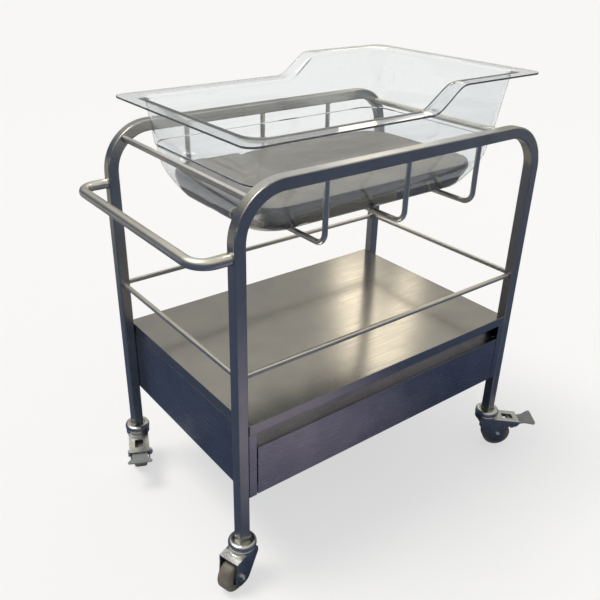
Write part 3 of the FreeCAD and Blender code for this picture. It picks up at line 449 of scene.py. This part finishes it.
def moulded(name, low, high, roughness, patch, relief, ior=1.5):
    """A moulded or coated non-metal: two close tones in soft patches, and a fine relief."""
    material, tree, output, place = new_material(name)
    patches = stretched_noise(tree, place, [patch] * 3, detail=5.0)
    tone = add_node(tree, "ShaderNodeValToRGB", inputs={"Fac": patches}, stops=[(0.35, low), (0.68, high)])
    rough = add_node(tree, "ShaderNodeMapRange",
                     inputs={"Value": patches, "To Min": roughness - 0.08, "To Max": roughness + 0.1})
    fine = stretched_noise(tree, place, [RELIEF_SIZE] * 3, detail=2.0)
    bump = add_node(tree, "ShaderNodeBump",
                    inputs={"Height": fine, "Strength": relief, "Distance": RELIEF_DEPTH})
    skin = add_node(tree, "ShaderNodeBsdfPrincipled",
                    inputs={"Base Color": tone.outputs["Color"], "Roughness": rough.outputs["Result"],
                            "IOR": ior, "Normal": bump.outputs["Normal"]})
    tree.links.new(skin.outputs["BSDF"], output.inputs["Surface"])
    return material


zinc = zinc_plate()
rubber = moulded("moulded_grey_rubber", "#625d55", "#7a746a", 0.5, 14 * MM, 0.3, ior=1.52)
hub_plastic = moulded("moulded_polypropylene_hub", "#585b5e", "#6a6d6f", 0.42, 20 * MM, 0.1, ior=1.49)
enamel = moulded("grey_stoved_enamel", "#878c8c", "#9a9e9c", 0.34, 18 * MM, 0.08, ior=1.5)
nylon = moulded("turned_white_nylon", "#d9d8cf", "#e6e4da", 0.4, 10 * MM, 0.1, ior=1.53)
plug_plastic = moulded("moulded_black_plug", "#1e1f20", "#2a2b2c", 0.5, 10 * MM, 0.1)
print("caster materials:", [m.name for m in (zinc, rubber, hub_plastic, enamel)])

# %% [markdown]
# The CAD nodes keep their shapes and take these materials. A node is found by the words in its name,
# which say what it is on the trolley.

# %% Finish of the frame's own pieces
FINISHES = [
    ("wheel_tyre", rubber), ("wheel_hub", hub_plastic), ("brake_pedal", enamel), ("brake_pin", zinc),
    ("caster", zinc), ("roller_studs", zinc), ("drawer_runner", zinc), ("roller", nylon),
    ("leg_plugs", plug_plastic), ("cabinet_top", shelf_steel), ("cabinet_side", end_panel_steel),
    ("cabinet_back", panel_steel), ("cabinet_base", panel_steel), ("drawer_box", panel_steel),
    ("drawer_front", panel_steel), ("side_frame", tube_steel), ("guard_rod_near", long_rod_steel),
    ("guard_rod_far", long_rod_steel), ("", rod_steel),
]
for name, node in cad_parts.items():
    finish = next(material for word, material in FINISHES if word in name)
    node.data.materials.clear()
    node.data.materials.append(finish)
print("finished nodes:", len(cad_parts))

# %% [markdown]
# Every joint in the frame is a small hand weld. The weld leaves a low bead round the rod, with ripples
# where the pool froze in steps. It could be painted on, but the bead catches the light on its own edge,
# so each is a real ring: a torus whose small radius swells and shrinks along its way.

# %% Weld beads
BEAD_RADIUS = 1.5 * MM
BEAD_RIPPLES = 22
RIPPLE_SHARE = 0.16
WANDER_SHARE = 0.12
RING_STEPS = 66
BEAD_STEPS = 8


def weld_ring(centre, axis, rod_radius):
    """Vertices and faces of a rippled ring of weld round a rod."""
    axis = Vector(axis).normalized()
    side = axis.orthogonal().normalized()
    other = axis.cross(side)
    rings = []
    for step in range(RING_STEPS):
        angle = 2 * math.pi * step / RING_STEPS
        out = side * math.cos(angle) + other * math.sin(angle)
        ripple = RIPPLE_SHARE * math.cos(BEAD_RIPPLES * angle)
        bead = BEAD_RADIUS * (1 + ripple + WANDER_SHARE * math.sin(3 * angle + centre[0]))
        ring = []
        for turn in range(BEAD_STEPS):
            around = 2 * math.pi * turn / BEAD_STEPS
            away = out * (rod_radius + bead * math.cos(around))
            ring.append(Vector(centre) + away + axis * bead * math.sin(around))
        rings.append(ring)
    rings.append(rings[0])
    return bridge_rings(rings, closed_ends=False)


def box_middle(name):
    """Middle, low corner and high corner of a node's box."""
    low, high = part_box(name)
    return (low + high) / 2, low, high


def weld_places():
    """Centre, axis and rod radius of each welded joint, read from the frame's own pieces."""
    places = []
    for name in ("cross_rod_foot", "cross_rod_head", "guard_rod_foot", "guard_rod_head"):
        middle, low, high = box_middle(name)
        radius = (high.x - low.x) / 2
        for y in (low.y, high.y):
            places.append(((middle.x, y, middle.z), (0, 1, 0), radius))
    for name in ("guard_rod_near", "guard_rod_far"):
        middle, low, high = box_middle(name)
        radius = (high.y - low.y) / 2
        for x in (low.x, high.x):
            places.append(((x, middle.y, middle.z), (1, 0, 0), radius))
    for name in ("cradle_rod_foot", "cradle_rod_middle", "cradle_rod_head"):
        middle, low, high = box_middle(name)
        radius = (high.x - low.x) / 2
        for y in (low.y + radius, high.y - radius):
            places.append(((middle.x, y, high.z), (0, 0, 1), radius))
    middle, low, high = box_middle("push_handle")
    radius = (high.z - low.z) / 2
    for y in (low.y + radius, high.y - radius):
        places.append(((high.x, y, middle.z), (1, 0, 0), radius))
    return places


def make_weld_beads():
    """All the beads as one mesh."""
    vertices, faces = [], []
    for centre, axis, radius in weld_places():
        ring_vertices, ring_faces = weld_ring(centre, axis, radius)
        start = len(vertices)
        vertices += ring_vertices
        faces += [tuple(start + index for index in face) for face in ring_faces]
    beads = mesh_from("weld_beads", vertices, faces)
    merge_seam(beads)
    return beads


weld_steel = linished_steel("brushed_weld_bead", Z_AXIS, 0.34, "#b5b1a9", "#97938c")
beads = make_weld_beads()
beads.data.materials.append(weld_steel)
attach(beads, "trolley")
print("weld beads:", len(weld_places()))

# %% [markdown]
# The basin is one sheet of clear acrylic, heated and drawn into a mould. That is why it has no sharp
# corner: the floor rolls up into the walls, the walls into the flange, and the wall has a small step
# where a liner can rest. The rim rises in an S to the head end. A box with bevels would not give that,
# so the skin is built from rings that follow the drawing, and then given its thickness.

# %% The clear basin
basin_low, basin_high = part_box("basin")
WALL = 5.5 * MM
FLANGE_SHEET = 3 * MM
RIM_LENGTH = basin_high.x
RIM_WIDTH = basin_high.y
SIDE_DIFFERENCE = RIM_LENGTH - RIM_WIDTH
RIM_CORNER = 22 * MM
STEP_FOOT = 56 * MM
STEP_HEAD = 112 * MM
STEP_HEIGHT = 44 * MM
STEP_RADIUS = 40 * MM
MOUTH = RIM_LENGTH - 30.5 * MM
SHOULDER = MOUTH - 14.5 * MM
SHOULDER_RISE = 81 * MM
FLOOR_INSET = 34 * MM
FLOOR_ROUNDNESS = 1.8
LEDGE_RISE = 96 * MM
LEDGE_WIDTH = 2 * MM
FLOOR_CORNER = 58 * MM
MOUTH_CORNER = 36 * MM
RIM_FILLET = 8 * MM
RIM_EDGE_GAP = 0.2 * MM
RIM_DROOP = 0.5 * MM
FLOOR_FILLET = 9 * MM
FLOOR_FILLET_RISE = 1.6 * MM
FLOOR_SHARES = (0.05, 0.25, 0.5, 0.75, 0.9)
FLOOR_FILLET_TURNS = (0.0, 0.35, 0.7, 1.0)
FLANGE_SHARES = (0.3, 0.6, 0.85, 0.96, 1.0)
STRETCH_START = 0.56
# The wall's rings lie closest together at the small step.
WALL_LEVELS = (0.02, 0.05, 0.09, 0.13, 0.18, 0.23, 0.28, 0.33, 0.38, 0.44, 0.5, 0.528, 0.536, 0.544,
               0.552, 0.56, 0.58, 0.66, 0.74, 0.82, 0.9, 0.96, 1.0)
LONG_STEPS = 64
SHORT_STEPS = 20
CORNER_STEPS = 12
FILLET_STEPS = 5


def smooth_step(share):
    """Ease from 0 to 1, level at both ends."""
    share = min(max(share, 0.0), 1.0)
    return share * share * (3 - 2 * share)


def rim_height(x):
    """The top of the rim at x: two levels joined by a slope with rounded ends."""
    slope = math.atan2(STEP_HEIGHT, STEP_HEAD - STEP_FOOT)
    trim = STEP_RADIUS * math.tan(slope / 2)
    low, high = basin_high.z - STEP_HEIGHT, basin_high.z
    if x <= STEP_FOOT - trim:
        return low
    if x >= STEP_HEAD + trim:
        return high
    reach = trim * math.cos(slope)
    if x < STEP_FOOT + reach:
        along = x - (STEP_FOOT - trim)
        return low + STEP_RADIUS - math.sqrt(STEP_RADIUS ** 2 - along ** 2)
    if x > STEP_HEAD - reach:
        along = STEP_HEAD + trim - x
        return high - STEP_RADIUS + math.sqrt(STEP_RADIUS ** 2 - along ** 2)
    return low + (x - STEP_FOOT) * math.tan(slope)


def outline(half_length, half_width, corner):
    """Points round a rounded rectangle, with the outward direction at each."""
    points = []
    flat_x, flat_y = half_length - corner, half_width - corner
    sides = [((flat_x, -flat_y), (0, 1), SHORT_STEPS, 2 * flat_y, (1, 0)),
             ((flat_x, flat_y), (-1, 0), LONG_STEPS, 2 * flat_x, (0, 1)),
             ((-flat_x, flat_y), (0, -1), SHORT_STEPS, 2 * flat_y, (-1, 0)),
             ((-flat_x, -flat_y), (1, 0), LONG_STEPS, 2 * flat_x, (0, -1))]
    for (x, y), (dx, dy), steps, length, (nx, ny) in sides:
        for step in range(steps):
            travel = length * step / steps
            points.append((x + dx * travel + nx * corner, y + dy * travel + ny * corner, nx, ny))
        end_x, end_y = x + dx * length, y + dy * length
        start_angle = math.atan2(ny, nx)
        for step in range(CORNER_STEPS):
            angle = start_angle + math.pi / 2 * step / CORNER_STEPS
            nx2, ny2 = math.cos(angle), math.sin(angle)
            points.append((end_x + nx2 * corner, end_y + ny2 * corner, nx2, ny2))
    return points


def wall_line(rise):
    """Inner half length and corner radius of the basin at a rise above its outer floor."""
    top_rise = basin_high.z - basin_low.z
    middle_corner = (FLOOR_CORNER + MOUTH_CORNER) / 2
    if rise <= SHOULDER_RISE:
        share = rise / SHOULDER_RISE
        half = SHOULDER - FLOOR_INSET * (1 - share) ** FLOOR_ROUNDNESS
        corner = FLOOR_CORNER - (FLOOR_CORNER - middle_corner) * share
    else:
        share = (rise - SHOULDER_RISE) / (top_rise - SHOULDER_RISE)
        ledge = LEDGE_WIDTH * smooth_step((rise - LEDGE_RISE + 2 * MM) / (4 * MM))
        half = SHOULDER + ledge + (MOUTH - SHOULDER - LEDGE_WIDTH) * share
        corner = middle_corner - (middle_corner - MOUTH_CORNER) * share
    return half - WALL, corner - WALL


def floor_rings(floor_z):
    """Rings of the flat floor and of the fillet that rolls it up into the wall."""
    half, corner = wall_line(0)
    rings = []
    for share in FLOOR_SHARES:
        points = outline(half * share, (half - SIDE_DIFFERENCE) * share, corner * share)
        rings.append([(x, y, floor_z) for x, y, nx, ny in points])
    for turn in FLOOR_FILLET_TURNS:
        inset = FLOOR_FILLET * (1 - turn)
        points = outline(half - inset, half - SIDE_DIFFERENCE - inset, corner - inset * 0.5)
        rings.append([(x, y, floor_z + FLOOR_FILLET_RISE * turn ** 2) for x, y, nx, ny in points])
    return rings


def wall_rings():
    """Rings of the wall, which end lower at the foot than at the head."""
    rings = []
    low_top = basin_high.z - STEP_HEIGHT - RIM_FILLET - basin_low.z
    for level in WALL_LEVELS:
        ring = []
        half, corner = wall_line(low_top * level)
        guide = outline(half, half - SIDE_DIFFERENCE, corner)
        stretch = smooth_step((level - STRETCH_START) / (1 - STRETCH_START))
        for index, (guide_x, _, _, _) in enumerate(guide):
            top_rise = rim_height(guide_x) - RIM_FILLET - basin_low.z
            rise = low_top * level + (top_rise - low_top) * stretch
            half, corner = wall_line(rise)
            x, y, _, _ = outline(half, half - SIDE_DIFFERENCE, corner)[index]
            ring.append((x, y, basin_low.z + rise + WALL * (1 - level)))
        rings.append(ring)
    return rings


def flange_rings():
    """Rings of the fillet and the flat flange out to the trimmed edge."""
    rings = []
    edge = outline(RIM_LENGTH - RIM_EDGE_GAP, RIM_WIDTH - RIM_EDGE_GAP, RIM_CORNER)
    guide = outline(MOUTH, MOUTH - SIDE_DIFFERENCE, MOUTH_CORNER)
    starts = []
    for index, (guide_x, _, _, _) in enumerate(guide):
        half, corner = wall_line(rim_height(guide_x) - RIM_FILLET - basin_low.z)
        starts.append(outline(half, half - SIDE_DIFFERENCE, corner)[index])
    for step in range(1, FILLET_STEPS + 1):
        angle = math.pi / 2 * step / FILLET_STEPS
        ring = []
        for x, y, nx, ny in starts:
            out = RIM_FILLET * (1 - math.cos(angle))
            px, py = x + nx * out, y + ny * out
            ring.append((px, py, rim_height(px) - RIM_FILLET * (1 - math.sin(angle))))
        rings.append(ring)
    for share in FLANGE_SHARES:
        ring = []
        for (x, y, nx, ny), (edge_x, edge_y, _, _) in zip(starts, edge):
            px = x + nx * RIM_FILLET
            py = y + ny * RIM_FILLET
            px, py = px + (edge_x - px) * share, py + (edge_y - py) * share
            droop = RIM_DROOP * smooth_step((share - 0.8) / 0.2)
            ring.append((px, py, rim_height(px) - droop))
        rings.append(ring)
    return rings


def make_basin():
    """The inner skin of the basin, thickened outwards: full in the walls, thinner in the flange."""
    flange = flange_rings()
    rings = floor_rings(basin_low.z + WALL) + wall_rings() + flange
    vertices, faces = bridge_rings(rings, closed_ends=False)
    faces.append(tuple(reversed(range(len(rings[0])))))
    basin = mesh_from("clear_basin", vertices, faces)
    direction = basin.data.polygons[-1].normal.z
    count = len(rings[0])
    walls = basin.vertex_groups.new(name="walls")
    flange_start = len(rings) - len(flange)
    for level in range(len(rings)):
        weight = min(max(1 - (level - flange_start + 1) / FILLET_STEPS, 0), 1)
        walls.add(list(range(level * count, (level + 1) * count)), weight, "REPLACE")
    thickness = basin.modifiers.new("thickness", "SOLIDIFY")
    thickness.thickness = WALL
    thickness.vertex_group = "walls"
    thickness.thickness_vertex_group = FLANGE_SHEET / WALL
    thickness.offset = -1 if direction > 0 else 1
    thickness.use_even_offset = True
    apply_modifiers(basin)
    basin.data.polygons.foreach_set("use_smooth", [True] * len(basin.data.polygons))
    return basin


basin = make_basin()
print("basin faces:", len(basin.data.polygons))

# %% [markdown]
# Drawn acrylic is clear, with a faint cool cast where light runs through it edgewise. Years of wiping
# leave fine hairline scratches and a little haze. Round one spot high in the head corner the milky haze
# is much thicker: that is a painted highlight, a whitish colour standing in for the glare of light on the
# curved corner. Its IOR is 1.49. The haze is a thin share of a milky surface mixed in by a scratch mask.


# %% Clear acrylic
# Round this spot the scratches and the milky haze thicken into a painted highlight on the curved corner.
HIGHLIGHT_HAZE_PLACE = (0.29, 0.175, basin_high.z - 0.09)
HIGHLIGHT_HAZE_SPAN = (0.02, 0.13)
SCRATCH_AND_HIGHLIGHT_SHARE = (0.16, 0.55)
EVEN_HAZE = 0.03
ACRYLIC_IOR = 1.49
SCRATCHES_ALONG = (1.6 * MM, 60 * MM, 30 * MM)
SCRATCHES_ACROSS = (70 * MM, 1.8 * MM, 40 * MM)


def clear_acrylic():
    """Clear acrylic with hairline scratches, thickened round one spot in the head corner into a painted
    highlight.
    """
    material, tree, output, place = new_material("vacuum_formed_clear_acrylic")
    along = stretched_noise(tree, place, SCRATCHES_ALONG, detail=4.0)
    across = stretched_noise(tree, place, SCRATCHES_ACROSS, detail=4.0)
    scratches = add_node(tree, "ShaderNodeMath", {"operation": "MAXIMUM"}, {0: along, 1: across})
    lines = add_node(tree, "ShaderNodeValToRGB", inputs={"Fac": scratches.outputs["Value"]},
                     stops=[(0.66, "#000000"), (0.8, "#ffffff")])
    corner = add_node(tree, "ShaderNodeVectorMath", {"operation": "DISTANCE"}, {0: place, 1: HIGHLIGHT_HAZE_PLACE})
    near = add_node(tree, "ShaderNodeMapRange",
                    inputs={"Value": corner.outputs["Value"], "From Min": HIGHLIGHT_HAZE_SPAN[0],
                            "From Max": HIGHLIGHT_HAZE_SPAN[1], "To Min": 1.0, "To Max": 0.0})
    # The scratch share rises from 0.16 to 0.55 round that spot; the rise is a painted highlight.
    highlight_share = add_node(tree, "ShaderNodeMapRange",
                    inputs={"Value": near.outputs["Result"], "To Min": SCRATCH_AND_HIGHLIGHT_SHARE[0],
                            "To Max": SCRATCH_AND_HIGHLIGHT_SHARE[1]})
    scratches_and_highlight = add_node(tree, "ShaderNodeMath", {"operation": "MULTIPLY"},
                         {0: lines.outputs["Color"], 1: highlight_share.outputs["Result"]})
    haze = add_node(tree, "ShaderNodeMath", {"operation": "ADD"},
                    {0: scratches_and_highlight.outputs["Value"], 1: EVEN_HAZE})
    clear = add_node(tree, "ShaderNodeBsdfPrincipled",
                     inputs={"Base Color": linear("#f9fbfc"), "Roughness": 0.03, "IOR": ACRYLIC_IOR,
                             "Transmission Weight": 1.0})
    milky = add_node(tree, "ShaderNodeBsdfPrincipled",
                     inputs={"Base Color": linear("#dfe6ee"), "Roughness": 0.35, "IOR": ACRYLIC_IOR})
    mixed = add_node(tree, "ShaderNodeMixShader",
                     inputs={0: haze.outputs["Value"], 1: clear.outputs["BSDF"], 2: milky.outputs["BSDF"]})
    tree.links.new(mixed.outputs["Shader"], output.inputs["Surface"])
    return material


basin.data.materials.append(clear_acrylic())
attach(basin, "basin")
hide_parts("basin")

# %% [markdown]
# The mattress is a foam block in a wipe-clean cover: a matt woven top and a shiny coated border, joined
# by a piped seam. The foam swells a little between its edges. A block with a bevel looks like a tray, so
# the form is remeshed and blown up a little by a cloth simulation, with a cap on how far it may move.

# %% The mattress
pad_low, pad_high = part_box("mattress")
# Each level is a share of the height, with its inset in millimetres.
PAD_LEVELS = [(0.0, 9), (0.08, 5), (0.25, 2), (0.45, 0.6), (0.7, 0), (0.86, 0.4), (0.95, 1.6), (1.0, 4)]
PAD_PROUD = 1 * MM
PAD_CROWN = 4 * MM
PAD_TAPER = 13.5 * MM
TAPER_END = 0.9
TAPER_POWER = 1.4
PAD_CORNER = 62 * MM
PAD_VOXEL = 5 * MM
SWELL_CAP = 2.2 * MM
SWELL_FRAMES = 20
SWELL_PRESSURE = 4
START_INSET = 1.6 * MM


def pad_rings():
    """Rings of the mattress from its foot up: narrower at the foot, rounded over at the top."""
    height = pad_high.z + PAD_PROUD - pad_low.z
    rings = []
    for level, inset in PAD_LEVELS:
        spread = PAD_TAPER * (1 - min(level / TAPER_END, 1.0)) ** TAPER_POWER
        half = pad_high.x - START_INSET - inset * MM - spread
        half_width = pad_high.y - START_INSET - inset * MM - spread
        points = outline(half, half_width, PAD_CORNER)
        rings.append([(x, y, pad_low.z + START_INSET * 0.5 + (height - START_INSET) * level)
                      for x, y, nx, ny in points])
    return rings


def swell(item):
    """Blow the pad up with a short cloth simulation, and cap how far each point may move."""
    remesh = item.modifiers.new("even_mesh", "REMESH")
    remesh.mode = "VOXEL"
    remesh.voxel_size = PAD_VOXEL
    apply_modifiers(item)
    rest = [vertex.co.copy() for vertex in item.data.vertices]
    cloth = item.modifiers.new("cover", "CLOTH")
    cloth.settings.use_pressure = True
    cloth.settings.uniform_pressure_force = SWELL_PRESSURE
    cloth.settings.effector_weights.gravity = 0
    for frame_number in range(1, SWELL_FRAMES + 1):
        bpy.context.scene.frame_set(frame_number)
    apply_modifiers(item)
    bpy.context.scene.frame_set(1)
    for vertex, start in zip(item.data.vertices, rest):
        move = vertex.co - start
        if move.length > SWELL_CAP:
            move *= SWELL_CAP / move.length
        moved = start + move
        moved.z = max(moved.z, pad_low.z)
        vertex.co = moved
    return item


def settle_tops(item):
    """Crown the top face a little, as foam does under a stretched cover."""
    for vertex in item.data.vertices:
        across = vertex.co.x / pad_high.x
        along = vertex.co.y / pad_high.y
        crown = max(0.0, (1 - across ** 4) * (1 - along ** 4))
        if vertex.co.z > (pad_low.z + pad_high.z) / 2:
            vertex.co.z += PAD_CROWN * crown
    return item


def make_mattress():
    """The pad: rings, an even mesh, a swell, a crown and one smoothing."""
    vertices, faces = bridge_rings(pad_rings())
    pad = mesh_from("mattress_pad", vertices, faces)
    swell(pad)
    settle_tops(pad)
    smoother = pad.modifiers.new("finer", "SUBSURF")
    smoother.levels = 1
    smoother.render_levels = 1
    apply_modifiers(pad)
    pad.data.polygons.foreach_set("use_smooth", [True] * len(pad.data.polygons))
    return pad


pad = make_mattress()
print("mattress faces:", len(pad.data.polygons))

# %% [markdown]
# The cover's top is a woven polyester, and its border is the same cloth with a glossy polyurethane
# coat. The border's near-black colour is painted shade: the side, which gets less light, is made far
# darker than the top. One material does both: the height on the side decides which, just below the
# piping. The weave's threads are 0.4 mm apart on the real cover and are drawn at 1.6 mm, so that they show.


# %% Mattress cover
THREAD = 1.6 * MM
STAIN_SIZES = (70 * MM, 50 * MM, 20 * MM)
CREASE_SIZES = (26 * MM, 26 * MM, 60 * MM)
CREASE_DEPTH = 1.2 * MM
WEAVE_SHARE = 0.25
BORDER_TOP = (pad_high.z - 1.5 * MM, pad_high.z - 0.5 * MM)
PIPING_RADIUS = 1.3 * MM
PIPING_SUNK = 0.35
PIPING_SIDES = 8
PIPING_DROPS = {"upper": 1 * MM, "lower": 22 * MM}
RAY_START = 20 * MM


def cover_cloth():
    """Matt woven top and glossy coated border in one material, the border's dark colour being painted
    shade.
    """
    material, tree, output, place = new_material("woven_cover_coated_border_painted_shade")
    threads = [add_node(tree, "ShaderNodeTexWave", {"bands_direction": axis},
                        {"Vector": place, "Scale": 1 / (THREAD * math.tau), "Distortion": 0.4})
               for axis in "XY"]
    weave = add_node(tree, "ShaderNodeMath", {"operation": "MULTIPLY"},
                     {0: threads[0].outputs["Fac"], 1: threads[1].outputs["Fac"]})
    stain = stretched_noise(tree, place, STAIN_SIZES, detail=4.0)
    top_tone = add_node(tree, "ShaderNodeValToRGB", inputs={"Fac": stain},
                        stops=[(0.3, "#807e78"), (0.7, "#96938b")])
    height = add_node(tree, "ShaderNodeSeparateXYZ", inputs={"Vector": place})
    top = add_node(tree, "ShaderNodeMapRange",
                   inputs={"Value": height.outputs["Z"], "From Min": BORDER_TOP[0],
                           "From Max": BORDER_TOP[1]})
    # The border's near-black tone #26282b is painted shade on the pad's side, below the piping; the top
    # keeps the cloth's own tone.
    tone = add_node(tree, "ShaderNodeMix", {"data_type": "RGBA"},
                    {"Factor": top.outputs["Result"], "A": linear("#26282b"),
                     "B": top_tone.outputs["Color"]})
    rough = add_node(tree, "ShaderNodeMapRange",
                     inputs={"Value": top.outputs["Result"], "To Min": 0.22, "To Max": 0.62})
    creases = stretched_noise(tree, place, CREASE_SIZES)
    relief = add_node(tree, "ShaderNodeMath", {"operation": "MULTIPLY_ADD"},
                      {0: weave.outputs["Value"], 1: WEAVE_SHARE, 2: creases})
    bump = add_node(tree, "ShaderNodeBump",
                    inputs={"Height": relief.outputs["Value"], "Strength": 0.4, "Distance": CREASE_DEPTH})
    cloth = add_node(tree, "ShaderNodeBsdfPrincipled",
                     inputs={"Base Color": tone.outputs["Result"], "Roughness": rough.outputs["Result"],
                             "IOR": 1.5, "Normal": bump.outputs["Normal"],
                             "Sheen Weight": 0.15, "Sheen Roughness": 0.5})
    tree.links.new(cloth.outputs["BSDF"], output.inputs["Surface"])
    return material


def make_piping(name, item, height, radius):
    """A cord of piping that follows the finished pad's side at one height."""
    side = BVHTree.FromPolygons([v.co for v in item.data.vertices],
                                [tuple(p.vertices) for p in item.data.polygons])
    rings = []
    for x, y, nx, ny in outline(pad_high.x + RAY_START, pad_high.y + RAY_START, PAD_CORNER + RAY_START):
        out = Vector((nx, ny, 0))
        hit, _, _, _ = side.ray_cast(Vector((x, y, height)), -out)
        if hit is None:
            continue
        centre = hit - out * radius * PIPING_SUNK
        ring = []
        for step in range(PIPING_SIDES):
            angle = 2 * math.pi * step / PIPING_SIDES
            ring.append(centre + out * radius * math.cos(angle) + Vector((0, 0, radius * math.sin(angle))))
        rings.append(ring)
    rings.append(rings[0])
    vertices, faces = bridge_rings(rings, closed_ends=False)
    piping = mesh_from(name, vertices, faces)
    merge_seam(piping)
    return piping


pad.data.materials.append(cover_cloth())
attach(pad, "mattress")
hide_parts("mattress")
piping_cloth = moulded("coated_piping", "#3a3b3d", "#4a4a4a", 0.3, 12 * MM, 0.1)
for label, drop in PIPING_DROPS.items():
    piping = make_piping(f"mattress_piping_{label}", pad, pad_high.z - drop, PIPING_RADIUS)
    piping.data.materials.append(piping_cloth)
    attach(piping, "mattress")
print("piping made")
